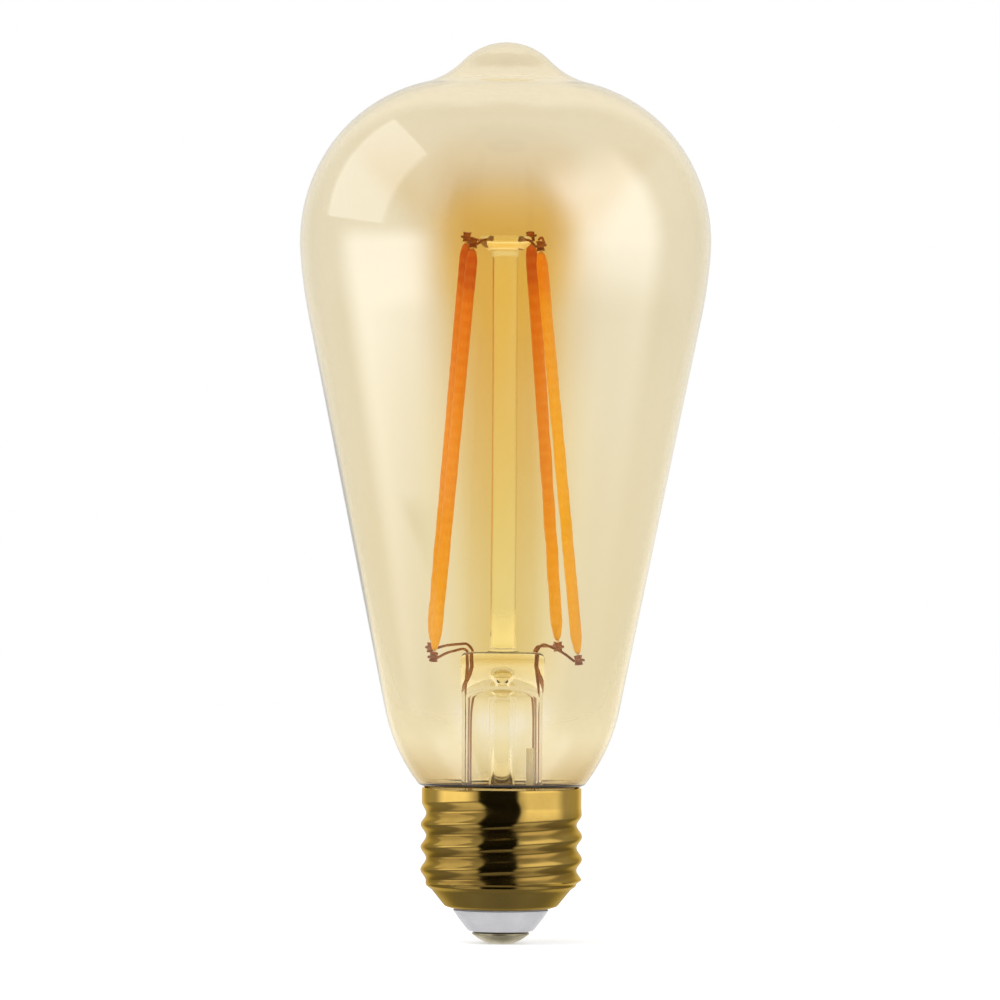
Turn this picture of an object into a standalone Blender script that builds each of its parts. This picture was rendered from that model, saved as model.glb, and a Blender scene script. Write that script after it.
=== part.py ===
"""Smart filament light bulb: an amber glass envelope of the ST21 shape, four LED filaments on a glass stem,
and an E26 screw base with a driver and a wireless module inside it.

Metres, +Z up the bulb's axis. The origin is the tip of the centre contact, which the bulb stands on.
"""

from math import acos, asin, ceil, cos, degrees, floor, pi, radians, sin

import bmesh
import bpy
from mathutils import Matrix, Vector

MM = 0.001
MERGE = 1e-6

# Glass envelope: an outline of tangent arcs from the pip at the top down to the neck in the base.
ENVELOPE_TOP = 144.85 * MM
ENVELOPE_WALL = 0.7 * MM
PIP_RADIUS = 9.75 * MM
PIP_END = 45.5
HOLLOW_RADIUS = 13.1 * MM
HOLLOW_END = 13.4
SHOULDER_RADIUS = 25.5 * MM
SHOULDER_END = 56.3
EQUATOR_RADIUS = 26.8 * MM
EQUATOR_END = 94.0
BELLY_RADIUS = 78.7 * MM
CONE_HEADING = 101.4
CONE_LENGTH = 64.7 * MM
HEEL_RADIUS = 28.8 * MM
HEEL_END = 127.2
TUCK_RADIUS = 1.1 * MM
TUCK_END = 162.0
TUCK_LEDGE = 0.65 * MM
NECK_FILLET = 1.3 * MM
NECK_LENGTH = 6.2 * MM
ENVELOPE_SEGMENTS = 36
OUTER_SAG = 0.05 * MM
INNER_SAG = 0.14 * MM

# Stem: a flared tube fused to the neck, a solid press that the wires pass through, a rod and its button.
FLARE_RADIUS = 6.8 * MM
FLARE_WALL = 0.9 * MM
FLARE_TOP = 40.8 * MM
BELL_TOP = 25.2 * MM
BELL_RADIUS = 8.8 * MM
BELL_END = 35.0
PRESS_BOTTOM = 41.0 * MM
PRESS_TOP = 46.9 * MM
PRESS_HALF_DEPTH = 3.6 * MM
PRESS_CHAMFER = 0.45 * MM
PRESS_SECTIONS = [(0.0, 1.0, 1.89, 2.0), (0.24, 1.0, 1.45, 2.3), (0.54, 1.0, 1.06, 3.0)]
PRESS_POWER = 3.5
PRESS_POINTS = 20
PORT_WIDTH = 3.2 * MM
PORT_HEIGHT = 1.8 * MM
PORT_Z = 43.0 * MM
EXHAUST_RADIUS = 2.1 * MM
EXHAUST_BORE = 1.3 * MM
EXHAUST_TIP = 20.6 * MM
EXHAUST_TAPER = 2.4 * MM
ROD_RADIUS = 2.1 * MM
ROD_TOP = 110.6 * MM
BUTTON_RADIUS = 4.25 * MM
BUTTON_BOTTOM = 110.8 * MM
BUTTON_TOP = 113.8 * MM
BUTTON_RIM = 0.55 * MM
BUTTON_CROWN = 0.1 * MM
STEM_GAP = 0.2 * MM
FLARE_SEGMENTS = 28
BUTTON_SEGMENTS = 20
ROD_SEGMENTS = 18
EXHAUST_SEGMENTS = 14

# Filaments: each leans outward from the button to the end of its lead wire. Azimuths are from +X.
FOOT_AZIMUTHS = {"front_right": -30.0, "back_right": 50.0, "back_left": 147.0, "front_left": 218.0}
HEAD_AZIMUTHS = {"front_right": -37.7, "back_right": 55.3, "back_left": 151.0, "front_left": 223.0}
FOOT_HEIGHTS = {"front_right": 46.9, "back_right": 48.6, "back_left": 48.4, "front_left": 47.3}
FOOT_RADIUS = 13.8 * MM
HEAD_RADIUS = 7.2 * MM
COAT_LENGTH = 64.5 * MM
COAT_HALF_WIDTH = 1.06 * MM
COAT_HALF_DEPTH = 0.92 * MM
COAT_TAPER = 3.4 * MM
COAT_END_SCALE = 0.66
COAT_MIDDLE_SCALE = 0.88
COAT_POINTS = 10
SLOT_HALF_WIDTH = 0.5 * MM
SLOT_HALF_DEPTH = 0.28 * MM
STRIP_HALF_WIDTH = 0.3 * MM
STRIP_HALF_DEPTH = 0.1 * MM
TAB_LENGTH = 1.7 * MM
CRIMP_RADIUS = 0.75 * MM
CRIMP_BORE = 0.5 * MM
CRIMP_LENGTH = 1.5 * MM
CRIMP_OFFSET = 0.3 * MM
CRIMP_WAIST = 0.94

# Wires.
LEAD_RADIUS = 0.22 * MM
LEAD_CHANNEL = 0.42 * MM
LEAD_FLARE_X = 5.26 * MM
LEAD_FLARE_Y = 1.6 * MM
LEAD_PRESS_X = {"front_right": 5.3, "back_right": 5.0, "back_left": -4.7, "front_left": -5.5}
LEAD_PRESS_Y = 1.1 * MM
LEAD_ARCH = 0.5 * MM
LEAD_BEND = 0.9 * MM
HOOK_RADIUS = 0.2 * MM
HOOK_HOLE = 0.42 * MM
HOOK_DEPTH = 1.05 * MM
HOOK_START = 2.4 * MM
HOOK_REACH = 0.9 * MM
HOOK_BEND = 0.6 * MM
HOLE_DEPTH = 2.1 * MM
WELD_GAP = 0.06 * MM

# E26 screw shell: thread diameter 26.05 mm and seven turns to the inch.
SHELL_TOP = 25.05 * MM
SHELL_WALL = 0.3 * MM
PITCH = 3.629 * MM
CREST_RADIUS = 13.02 * MM
ROOT_RADIUS = 12.14 * MM
BAND_RADIUS = 12.86 * MM
CREST_Z = 15.45 * MM
BAND_START = 19.8 * MM
BAND_FULL = 22.0 * MM
THREAD_TOP = 22.8 * MM
THREAD_BOTTOM = 9.62 * MM
RUN_OUT_START = 0.17
RUN_OUT_END = 0.31
BOTTOM_SLOPE = 1.3
SHELL_TAPER = [(0.6 * MM, 146.0), (0.5 * MM, None), (2.0 * MM, 128.9), (2.9 * MM, None)]
SHELL_LIP = [(0.75 * MM, 163.0), (1.1 * MM, None)]
ROWS_PER_TURN = 7
SHELL_SEGMENTS = 32
SHELL_SAG = 0.1 * MM

# Insulator, centre contact and the cement that holds the neck.
INSULATOR_TOP = 7.5 * MM
INSULATOR_NECK = 7.45 * MM
INSULATOR_SHOULDER = 7.75 * MM
INSULATOR_FOOT = 5.2 * MM
INSULATOR_FLANGE = 8.85 * MM
INSULATOR_ROUND = 0.5 * MM
INSULATOR_LIP = 6.25 * MM
INSULATOR_STEP = 5.4 * MM
INSULATOR_BOTTOM = 1.98 * MM
INSULATOR_BORE = 1.35 * MM
CONTACT_RADIUS = 4.65 * MM
CONTACT_DOME = 6.9 * MM
CONTACT_FLAT = 1.8 * MM
CONTACT_RIM = 1.78 * MM
CONTACT_ROUND = 0.15 * MM
CONTACT_STEPS = 5
BASE_SEGMENTS = 32
SPIGOT_RADIUS = 1.0 * MM
SPIGOT_TOP = 8.2 * MM
CEMENT_BOTTOM = 22.9 * MM
CEMENT_TOP = 24.2 * MM
CEMENT_INNER = 11.78 * MM
CEMENT_OUTER = 12.3 * MM

# Driver in the base: one upright board with its parts on both faces.
BOARD_WIDTH = 19.0 * MM
BOARD_THICKNESS = 1.0 * MM
BOARD_BOTTOM = 8.5 * MM
BOARD_TOP = 16.6 * MM
MOUNT_GAP = 0.15 * MM
FRONT_FACE = -(BOARD_THICKNESS / 2 + MOUNT_GAP)
WIRE_AT_BOARD = BOARD_THICKNESS / 2 + 0.35 * MM
CHIP_DEPTH = 1.5 * MM
CHIP_BEVEL = 0.15 * MM
CHIP_X = 7.1 * MM
CHIP_Z = 11.4 * MM
RECTIFIER_SIZE = (3.8 * MM, CHIP_DEPTH, 2.6 * MM)
RECTIFIER_LEGS = 2
DRIVER_SIZE = (3.8 * MM, CHIP_DEPTH, 3.0 * MM)
DRIVER_LEGS = 4
LEG_REACH = 0.7 * MM
LEG_THICKNESS = 0.25 * MM
LEG_INSET = 0.3 * MM
LEG_SHARE = 0.4
MODULE_SIZE = (8.8 * MM, 0.8 * MM, 7.2 * MM)
MODULE_Z = 12.8 * MM
SHIELD_SIZE = (6.8 * MM, 1.5 * MM, 4.6 * MM)
SHIELD_Z = 12.0 * MM
SHIELD_BEVEL = 0.25 * MM
BULK_AXIS = (-4.6 * MM, 5.0 * MM, 0)
BULK_RADIUS = 3.7 * MM
BULK_RIM = 0.4 * MM
BULK_TOP = BOARD_TOP - 0.2 * MM
BULK_BOTTOM = BOARD_BOTTOM + 0.3 * MM
BULK_GROOVE = BULK_BOTTOM + 1.4 * MM
CHOKE_AXIS = (3.6 * MM, 4.6 * MM, 0)
CHOKE_RADIUS = 3.2 * MM
CHOKE_WAIST = 2.5 * MM
CHOKE_FLANGE = 0.8 * MM
CHOKE_BOTTOM = BOARD_BOTTOM + 0.4 * MM
CHOKE_TOP = CHOKE_BOTTOM + 4.0 * MM
FILM_SIZE = (6.0 * MM, 3.4 * MM, 3.2 * MM)
FILM_CENTRE = (3.8 * MM, 3.2 * MM, 14.9 * MM)
FILM_BEVEL = 0.4 * MM
FUSE_AXIS = (8.6 * MM, 2.2 * MM, 0)
FUSE_RADIUS = 1.1 * MM
FUSE_WAIST = 0.8
FUSE_STUB = 0.25 * MM
FUSE_CAP = 0.5 * MM
FUSE_BOTTOM = BOARD_BOTTOM + 0.9 * MM
FUSE_TOP = FUSE_BOTTOM + 5.4 * MM
DRUM_SEGMENTS = 20
FUSE_SEGMENTS = 14

# The leads to the shell and to the contact, and the antenna in its sleeve.
BASE_LEAD_RADIUS = 0.2 * MM
SHELL_LEAD_X = (-8.7 * MM, -11.45 * MM)
SHELL_LEAD_Z = (13.9 * MM, 15.6 * MM, 16.2 * MM)
SHELL_LEAD_BEND = 0.6 * MM
CONTACT_LEAD_START = (FUSE_AXIS[0], FUSE_AXIS[1], 8.65 * MM)
CONTACT_LEAD_CORNER = (8.3 * MM, 2.1 * MM)
CONTACT_LEAD_DROP = 0.55 * MM
CONTACT_LEAD_END = (SPIGOT_RADIUS + 0.08 * MM, 0.3 * MM)
CONTACT_LEAD_BEND = 0.3 * MM
ANTENNA_X = 4.3 * MM
ANTENNA_Y = -2.4 * MM
ANTENNA_TOP = 31.6 * MM
ANTENNA_RADIUS = 0.15 * MM
ANTENNA_ROOT = (3.9 * MM, -1.85 * MM)
ANTENNA_HEIGHTS = (14.9 * MM, 16.6 * MM, 18.6 * MM)
ANTENNA_END_GAP = 0.5 * MM
SLEEVE_BORE = 0.32 * MM
SLEEVE_RADIUS = 0.52 * MM
SLEEVE_BOTTOM = 20.0 * MM
SLEEVE_SEGMENTS = 10

# Materials: a linear RGB colour, a roughness and a metallic share.
LOOKS = {
    "amber_glass": ((0.79, 0.55, 0.2), 0.03, 0.0),
    "clear_glass": ((0.93, 0.91, 0.84), 0.03, 0.0),
    "phosphor": ((0.83, 0.29, 0.03), 0.45, 0.0),
    "nickel_strip": ((0.62, 0.6, 0.55), 0.3, 1.0),
    "crimp_copper": ((0.19, 0.04, 0.015), 0.4, 1.0),
    "lead_copper": ((0.3, 0.13, 0.05), 0.35, 1.0),
    "hook_wire": ((0.2, 0.08, 0.03), 0.4, 1.0),
    "brass_shell": ((0.62, 0.42, 0.11), 0.16, 1.0),
    "base_cement": ((0.55, 0.5, 0.42), 0.85, 0.0),
    "insulator_glass": ((0.57, 0.57, 0.6), 0.35, 0.0),
    "contact_metal": ((0.18, 0.16, 0.13), 0.35, 1.0),
    "driver_board": ((0.03, 0.14, 0.06), 0.5, 0.0),
    "rectifier_case": ((0.02, 0.02, 0.022), 0.5, 0.0),
    "driver_case": ((0.025, 0.025, 0.028), 0.4, 0.0),
    "module_board": ((0.02, 0.05, 0.16), 0.45, 0.0),
    "shield_tin": ((0.6, 0.6, 0.58), 0.28, 1.0),
    "capacitor_sleeve": ((0.03, 0.035, 0.05), 0.35, 0.0),
    "ferrite": ((0.045, 0.04, 0.04), 0.6, 0.0),
    "film_case": ((0.42, 0.06, 0.03), 0.4, 0.0),
    "fuse_body": ((0.1, 0.2, 0.12), 0.5, 0.0),
    "lead_tin": ((0.55, 0.53, 0.48), 0.3, 1.0),
    "antenna_sleeve": ((0.8, 0.77, 0.68), 0.5, 0.0),
}
SEE_THROUGH = {"amber_glass": 0.35, "clear_glass": 0.4}


def add(name, data, material, location=(0, 0, 0)):
    """An object in the scene with one material."""
    if not data.materials:
        data.materials.append(material)
    node = bpy.data.objects.new(name, data)
    node.location = location
    bpy.context.scene.collection.objects.link(node)
    return node


def principled(look, name=None):
    """A Principled material from its look. The glasses are see-through."""
    colour, roughness, metallic = LOOKS[look]
    material = bpy.data.materials.new(name or look)
    material.use_nodes = True
    shader = material.node_tree.nodes["Principled BSDF"]
    shader.inputs["Base Color"].default_value = (*colour, 1)
    shader.inputs["Roughness"].default_value = roughness
    shader.inputs["Metallic"].default_value = metallic
    shader.inputs["Alpha"].default_value = SEE_THROUGH.get(look, 1.0)
    shader.inputs["Transmission Weight"].default_value = 1.0 if look in SEE_THROUGH else 0.0
    return material


def outline(start, heading, moves, sag):
    """(r, z, heading) along tangent moves. A heading is in degrees: 0 outward, 90 down, 180 inward.

    A move is (radius, end heading), or (length, None) for a straight run. sag is the most that a chord
    may leave its arc.
    """
    r, z = start
    points = [(r, z, heading)]
    for size, end in moves:
        if end is None:
            r += size * cos(radians(heading))
            z -= size * sin(radians(heading))
            points.append((r, z, heading))
            continue
        largest = degrees(2 * acos(1 - sag / size))
        count = ceil(abs(end - heading) / largest)
        turn = (end - heading) / count
        chord = 2 * size * sin(radians(abs(turn)) / 2)
        for _ in range(count):
            middle = radians(heading + turn / 2)
            r += chord * cos(middle)
            z -= chord * sin(middle)
            heading += turn
            points.append((r, z, heading))
    return points


def inset(points, wall):
    """An outline moved inward by a wall's thickness."""
    return [(r - wall * sin(radians(h)), z - wall * cos(radians(h)), h) for r, z, h in points]


def turned(name, profile, segments, material, ring=False, location=(0, 0, 0)):
    """A turned body. Its profile runs down the outer side, and a ring's profile is a closed loop."""
    mesh = bpy.data.meshes.new(name)
    edges = [(i, i + 1) for i in range(len(profile) - 1)]
    if ring:
        edges.append((len(profile) - 1, 0))
    mesh.from_pydata([(point[0], 0, point[1]) for point in profile], edges, [])
    node = add(name, mesh, material, location)
    screw = node.modifiers.new("Turn", "SCREW")
    screw.steps = screw.render_steps = segments
    screw.use_merge_vertices = True
    screw.merge_threshold = MERGE
    return node


def lofted(name, rings, loop=False):
    """A mesh through rings of points. The last ring joins the first in a loop, or both ends are capped."""
    build = bmesh.new()
    rows = [[build.verts.new(point) for point in ring] for ring in rings]
    pairs = list(zip(rows, rows[1:]))
    if loop:
        pairs.append((rows[-1], rows[0]))
    else:
        build.faces.new(rows[0])
        build.faces.new(rows[-1])
    for upper, lower in pairs:
        for i in range(len(upper)):
            j = (i + 1) % len(upper)
            build.faces.new((upper[i], upper[j], lower[j], lower[i]))
    bmesh.ops.recalc_face_normals(build, faces=build.faces)
    mesh = bpy.data.meshes.new(name)
    build.to_mesh(mesh)
    build.free()
    mesh.shade_smooth()
    mesh.set_sharp_from_angle(angle=radians(40))
    return mesh


def on_circle(azimuth, radius, z):
    """A point round the Z axis, at an azimuth in degrees from +X."""
    return Vector((radius * cos(radians(azimuth)), radius * sin(radians(azimuth)), z))


def ellipse(half_width, half_depth, z, count):
    """A ring of points round the Z axis."""
    angles = [2 * pi * i / count for i in range(count)]
    return [Vector((half_width * cos(a), half_depth * sin(a), z)) for a in angles]


def squircle(half_width, half_depth, z, count, power):
    """A ring between an ellipse, at power 2, and a rectangle with round corners, at higher powers."""
    ring = []
    for i in range(count):
        across, deep = cos(2 * pi * i / count), sin(2 * pi * i / count)
        reach = (abs(across) ** power + abs(deep) ** power) ** (-1 / power)
        ring.append(Vector((half_width * across * reach, half_depth * deep * reach, z)))
    return ring


def bent(points, radius, steps=4):
    """A path through points, with each corner rounded. The first and last points stay."""
    path = [Vector(points[0])]
    for before, corner, after in zip(points, points[1:], points[2:]):
        before, corner, after = Vector(before), Vector(corner), Vector(after)
        reach = min(radius, (before - corner).length / 2, (after - corner).length / 2)
        start = corner + (before - corner).normalized() * reach
        end = corner + (after - corner).normalized() * reach
        for i in range(steps + 1):
            t = i / steps
            path.append(start * (1 - t) ** 2 + corner * 2 * t * (1 - t) + end * t**2)
    path.append(Vector(points[-1]))
    return path


def wire(name, path, radius, material):
    """A round wire with closed ends."""
    curve = bpy.data.curves.new(name, "CURVE")
    curve.dimensions = "3D"
    curve.bevel_depth = radius
    curve.bevel_resolution = 1
    curve.use_fill_caps = True
    spline = curve.splines.new("POLY")
    kept = [path[0]] + [b for a, b in zip(path, path[1:]) if (b - a).length > radius / 2]
    spline.points.add(len(kept) - 1)
    for point, place in zip(spline.points, kept):
        point.co = (*place, 1)
    return add(name, curve, material)


def box(name, size, centre, material, bevel=0.0, segments=1):
    """A box with bevelled edges."""
    build = bmesh.new()
    bmesh.ops.create_cube(build, size=1, matrix=Matrix.Diagonal((*size, 1)))
    mesh = bpy.data.meshes.new(name)
    build.to_mesh(mesh)
    build.free()
    node = add(name, mesh, material, centre)
    if bevel:
        edge = node.modifiers.new("Edges", "BEVEL")
        edge.width = bevel
        edge.segments = segments
    return node


def tool(name, matrices, shape="cube"):
    """A hidden helper for a Boolean: unit cubes, cylinders or balls placed by matrices."""
    build = bmesh.new()
    for matrix in matrices:
        if shape == "cube":
            bmesh.ops.create_cube(build, size=1, matrix=matrix)
        elif shape == "cylinder":
            bmesh.ops.create_cone(
                build, cap_ends=True, segments=12, radius1=1, radius2=1, depth=1, matrix=matrix
            )
        else:
            bmesh.ops.create_uvsphere(build, u_segments=16, v_segments=8, radius=1, matrix=matrix)
    mesh = bpy.data.meshes.new(name)
    build.to_mesh(mesh)
    build.free()
    helper = bpy.data.objects.new(name, mesh)
    helper.hide_render = True
    helper.display_type = "WIRE"
    bpy.context.scene.collection.objects.link(helper)
    return helper


def combine(node, helper, operation):
    """A Boolean modifier on the node."""
    modifier = node.modifiers.new(helper.name, "BOOLEAN")
    modifier.operation = operation
    modifier.solver = "EXACT"
    modifier.object = helper


def placed(centre, size):
    """A matrix that scales a unit shape and moves it."""
    return Matrix.Translation(centre) @ Matrix.Diagonal((*size, 1))


def envelope_moves():
    """The envelope's outline from the pip to the end of the neck."""
    return [
        (PIP_RADIUS, PIP_END),
        (HOLLOW_RADIUS, HOLLOW_END),
        (SHOULDER_RADIUS, SHOULDER_END),
        (EQUATOR_RADIUS, EQUATOR_END),
        (BELLY_RADIUS, CONE_HEADING),
        (CONE_LENGTH, None),
        (HEEL_RADIUS, HEEL_END),
        (TUCK_RADIUS, TUCK_END),
        (TUCK_LEDGE, None),
        (NECK_FILLET, 90.0),
        (NECK_LENGTH, None),
    ]


def glass_envelope():
    """The amber bulb, open at the end of its neck."""
    start = (0.0, ENVELOPE_TOP)
    outside = outline(start, 0.0, envelope_moves(), OUTER_SAG)
    inside = inset(outline(start, 0.0, envelope_moves(), INNER_SAG), ENVELOPE_WALL)
    turned("glass_envelope", outside + inside[::-1], ENVELOPE_SEGMENTS, principled("amber_glass"))


def stem_flare():
    """The tube that widens to the neck."""
    bell = [(FLARE_TOP - BELL_TOP, None), (BELL_RADIUS, BELL_END)]
    outside = outline((FLARE_RADIUS, FLARE_TOP), 90.0, bell, INNER_SAG)
    inside = inset(outside, FLARE_WALL)
    glass = principled("clear_glass", "flare_glass")
    turned("stem_flare", outside + inside[::-1], FLARE_SEGMENTS, glass, ring=True)


def stem_press():
    """The flattened solid end of the flare, with a channel for each wire and the exhaust port."""
    rise = PRESS_TOP - PRESS_BOTTOM
    shoulder = (1 - PRESS_CHAMFER / rise, 0.985, 1.0, PRESS_POWER)
    crown = (1.0, 0.94, 1 - PRESS_CHAMFER / PRESS_HALF_DEPTH, PRESS_POWER)
    rings = []
    for share, wide, deep, power in PRESS_SECTIONS + [shoulder, crown]:
        size = (FLARE_RADIUS * wide, PRESS_HALF_DEPTH * deep)
        rings.append(squircle(*size, PRESS_BOTTOM + rise * share, PRESS_POINTS, power))
    glass = principled("clear_glass", "press_glass")
    node = add("stem_press", lofted("stem_press", rings), glass)
    length = 2 * rise
    middle = (PRESS_TOP + PRESS_BOTTOM) / 2
    channel = (LEAD_CHANNEL, LEAD_CHANNEL, length)
    channels = [placed((*press_point(place), middle), channel) for place in FOOT_AZIMUTHS]
    combine(node, tool("stem_press.channels", channels, "cylinder"), "DIFFERENCE")
    bore_height = 2 * (PORT_Z - PRESS_BOTTOM)
    bore = [placed((0, 0, PRESS_BOTTOM), (EXHAUST_BORE, EXHAUST_BORE, bore_height))]
    combine(node, tool("stem_press.bore", bore, "cylinder"), "DIFFERENCE")
    port = (PORT_WIDTH / 2, PRESS_HALF_DEPTH * 1.25, PORT_HEIGHT / 2)
    front = (0, -PRESS_HALF_DEPTH, PORT_Z)
    combine(node, tool("stem_press.port", [placed(front, port)], "ball"), "DIFFERENCE")


def exhaust_tube():
    """The pumping tube inside the flare, sealed at its lower tip and open to the port."""
    top = PRESS_BOTTOM - STEM_GAP
    profile = [
        (0.0, EXHAUST_TIP + EXHAUST_TAPER / 2),
        (EXHAUST_BORE, EXHAUST_TIP + EXHAUST_TAPER * 1.1),
        (EXHAUST_BORE, top),
        (EXHAUST_RADIUS, top),
        (EXHAUST_RADIUS, EXHAUST_TIP + EXHAUST_TAPER),
        (EXHAUST_RADIUS / 2, EXHAUST_TIP + EXHAUST_TAPER / 5),
        (0.0, EXHAUST_TIP),
    ]
    turned("exhaust_tube", profile, EXHAUST_SEGMENTS, principled("clear_glass", "exhaust_glass"))


def stem_rod():
    """The glass rod that carries the button."""
    bottom = PRESS_TOP + STEM_GAP
    profile = [(0.0, ROD_TOP), (ROD_RADIUS, ROD_TOP), (ROD_RADIUS, bottom), (0.0, bottom)]
    turned("stem_rod", profile, ROD_SEGMENTS, principled("clear_glass", "rod_glass"))


def rod_button():
    """The flattened end of the rod, with a hole for each hook wire."""
    profile = [
        (0.0, BUTTON_TOP),
        (BUTTON_RADIUS - BUTTON_RIM, BUTTON_TOP - BUTTON_CROWN),
        (BUTTON_RADIUS, BUTTON_TOP - BUTTON_RIM),
        (BUTTON_RADIUS, BUTTON_TOP - 3 * BUTTON_RIM),
        (ROD_RADIUS, BUTTON_BOTTOM),
        (0.0, BUTTON_BOTTOM),
    ]
    node = turned("rod_button", profile, BUTTON_SEGMENTS, principled("clear_glass", "button_glass"))
    holes = []
    for azimuth in HEAD_AZIMUTHS.values():
        centre = on_circle(azimuth, HOLE_DEPTH + BUTTON_RADIUS / 2, BUTTON_TOP - HOOK_DEPTH)
        turn = Matrix.Rotation(radians(azimuth), 4, "Z") @ Matrix.Rotation(pi / 2, 4, "Y")
        size = Matrix.Diagonal((HOOK_HOLE, HOOK_HOLE, BUTTON_RADIUS, 1))
        holes.append(Matrix.Translation(centre) @ turn @ size)
    combine(node, tool("rod_button.holes", holes, "cylinder"), "DIFFERENCE")


def press_point(place):
    """Where a lead wire passes through the press, as (x, y)."""
    side = -1 if place.startswith("front") else 1
    return LEAD_PRESS_X[place] * MM, side * LEAD_PRESS_Y


def filament_frame(place):
    """A filament's own frame: its origin at the foot, Z along it and X round the bulb's axis."""
    foot = on_circle(FOOT_AZIMUTHS[place], FOOT_RADIUS, FOOT_HEIGHTS[place] * MM)
    lean = on_circle(HEAD_AZIMUTHS[place], HEAD_RADIUS, foot.z) - foot
    rise = Vector((0, 0, (COAT_LENGTH**2 - lean.length_squared) ** 0.5))
    along = (lean + rise).normalized()
    tangent = on_circle(FOOT_AZIMUTHS[place] + 90, 1.0, 0.0)
    inward = along.cross(tangent).normalized()
    turn = Matrix((inward.cross(along), inward, along)).transposed().to_4x4()
    return Matrix.Translation(foot) @ turn


def coat_mesh():
    """The phosphor coat of a filament, tapered at both ends, with a slot along it for the strip."""
    heights = [(0.0, COAT_END_SCALE), (COAT_TAPER / 3, COAT_MIDDLE_SCALE), (COAT_TAPER, 1.0)]
    heights += [(COAT_LENGTH - z, scale) for z, scale in heights[::-1]]
    outside = [ellipse(COAT_HALF_WIDTH * s, COAT_HALF_DEPTH * s, z, COAT_POINTS) for z, s in heights]
    inside = [ellipse(SLOT_HALF_WIDTH, SLOT_HALF_DEPTH, z, COAT_POINTS) for z in (COAT_LENGTH, 0.0)]
    return lofted("filament_coat", outside + inside, loop=True)


def strip_mesh():
    """The strip that carries the LED chips, with a bare tab at each end."""
    corners = [(-1, -1), (1, -1), (1, 1), (-1, 1)]
    ends = (-TAB_LENGTH, COAT_LENGTH + TAB_LENGTH)
    rings = [[Vector((x * STRIP_HALF_WIDTH, y * STRIP_HALF_DEPTH, z)) for x, y in corners] for z in ends]
    return lofted("filament_strip", rings)


def crimp_mesh():
    """A short sleeve that grips a tab, centred on its own origin."""
    half = CRIMP_LENGTH / 2
    outside = [(CRIMP_RADIUS, half), (CRIMP_RADIUS * CRIMP_WAIST, 0.0), (CRIMP_RADIUS, -half)]
    rings = [ellipse(r, r, z, COAT_POINTS) for r, z in outside]
    rings += [ellipse(CRIMP_BORE, CRIMP_BORE, z, COAT_POINTS) for z in (-half, half)]
    return lofted("crimp", rings, loop=True)


def crimp_centre(place, end):
    """The middle of a crimp. end is 0 at the foot and 1 at the head."""
    beyond = CRIMP_OFFSET + CRIMP_LENGTH / 2
    along = COAT_LENGTH + beyond if end else -beyond
    return filament_frame(place) @ Vector((0, 0, along))


def filaments():
    """Four filaments, each with its coat, its strip and a crimp at both ends."""
    coat = ("filament_coat", coat_mesh(), principled("phosphor"))
    strip = ("filament_strip", strip_mesh(), principled("nickel_strip"))
    copper = principled("crimp_copper")
    crimp = crimp_mesh()
    for place in FOOT_AZIMUTHS:
        frame = filament_frame(place)
        for kind, mesh, material in (coat, strip):
            add(f"{kind}_{place}", mesh, material).matrix_world = frame
        for end, label in enumerate(("lower", "upper")):
            node = add(f"{label}_crimp_{place}", crimp, copper)
            node.matrix_world = Matrix.Translation(crimp_centre(place, end)) @ frame.to_3x3().to_4x4()


def beside(centre, source):
    """A point just outside a crimp's sleeve, on the side that faces the source, at the crimp's height."""
    towards = Vector((source[0] - centre.x, source[1] - centre.y, 0)).normalized()
    return centre + towards * (CRIMP_RADIUS + WELD_GAP)


def lead_wires():
    """The wires from the driver board through the press to the filaments' feet."""
    copper = principled("lead_copper")
    for place in FOOT_AZIMUTHS:
        x, y = press_point(place)
        side = 1 if x > 0 else -1
        back = 1 if y > 0 else -1
        flare = (side * LEAD_FLARE_X, back * LEAD_FLARE_Y)
        crimp = crimp_centre(place, 0)
        path = [
            (flare[0], back * WIRE_AT_BOARD, BOARD_TOP - 2.4 * MM),
            (flare[0], back * WIRE_AT_BOARD, BOARD_TOP + 0.6 * MM),
            (*flare, BELL_TOP - 3 * MM),
            (*flare, PRESS_BOTTOM - 3.2 * MM),
            (x, y, PRESS_BOTTOM - 0.8 * MM),
            (x, y, max(PRESS_TOP, crimp.z) + LEAD_ARCH),
            beside(crimp, (x, y)),
        ]
        wire(f"lead_wire_{place}", bent(path, LEAD_BEND), LEAD_RADIUS, copper)


def hook_wires():
    """The wires from the button to the filaments' heads."""
    molybdenum = principled("hook_wire")
    level = BUTTON_TOP - HOOK_DEPTH
    for place, azimuth in HEAD_AZIMUTHS.items():
        start = on_circle(azimuth, HOOK_START, level)
        outside = on_circle(azimuth, BUTTON_RADIUS + HOOK_REACH, level)
        path = [start, outside, beside(crimp_centre(place, 1), start)]
        wire(f"hook_wire_{place}", bent(path, HOOK_BEND, 3), HOOK_RADIUS, molybdenum)


def shell_radius(z, turn):
    """The shell's outer radius at a height. turn runs from 0 at -X anticlockwise to 1.

    A groove lies between two crests. The highest one runs out into the plain band.
    """
    phase = (z - CREST_Z) / PITCH - turn
    groove = floor(phase)
    full = 1.0
    if groove >= 1:
        full = (RUN_OUT_END - turn) / (RUN_OUT_END - RUN_OUT_START) if groove == 1 else 0.0
    full = min(1.0, max(0.0, full))
    to_band = min(1.0, max(0.0, (z - BAND_START) / (BAND_FULL - BAND_START)))
    crest = CREST_RADIUS + (BAND_RADIUS - CREST_RADIUS) * to_band
    depth = (1 - cos(2 * pi * phase)) / 2
    threaded = crest - (crest - ROOT_RADIUS) * depth * full
    return min(threaded, ROOT_RADIUS + (z - THREAD_BOTTOM) * BOTTOM_SLOPE)


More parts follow.
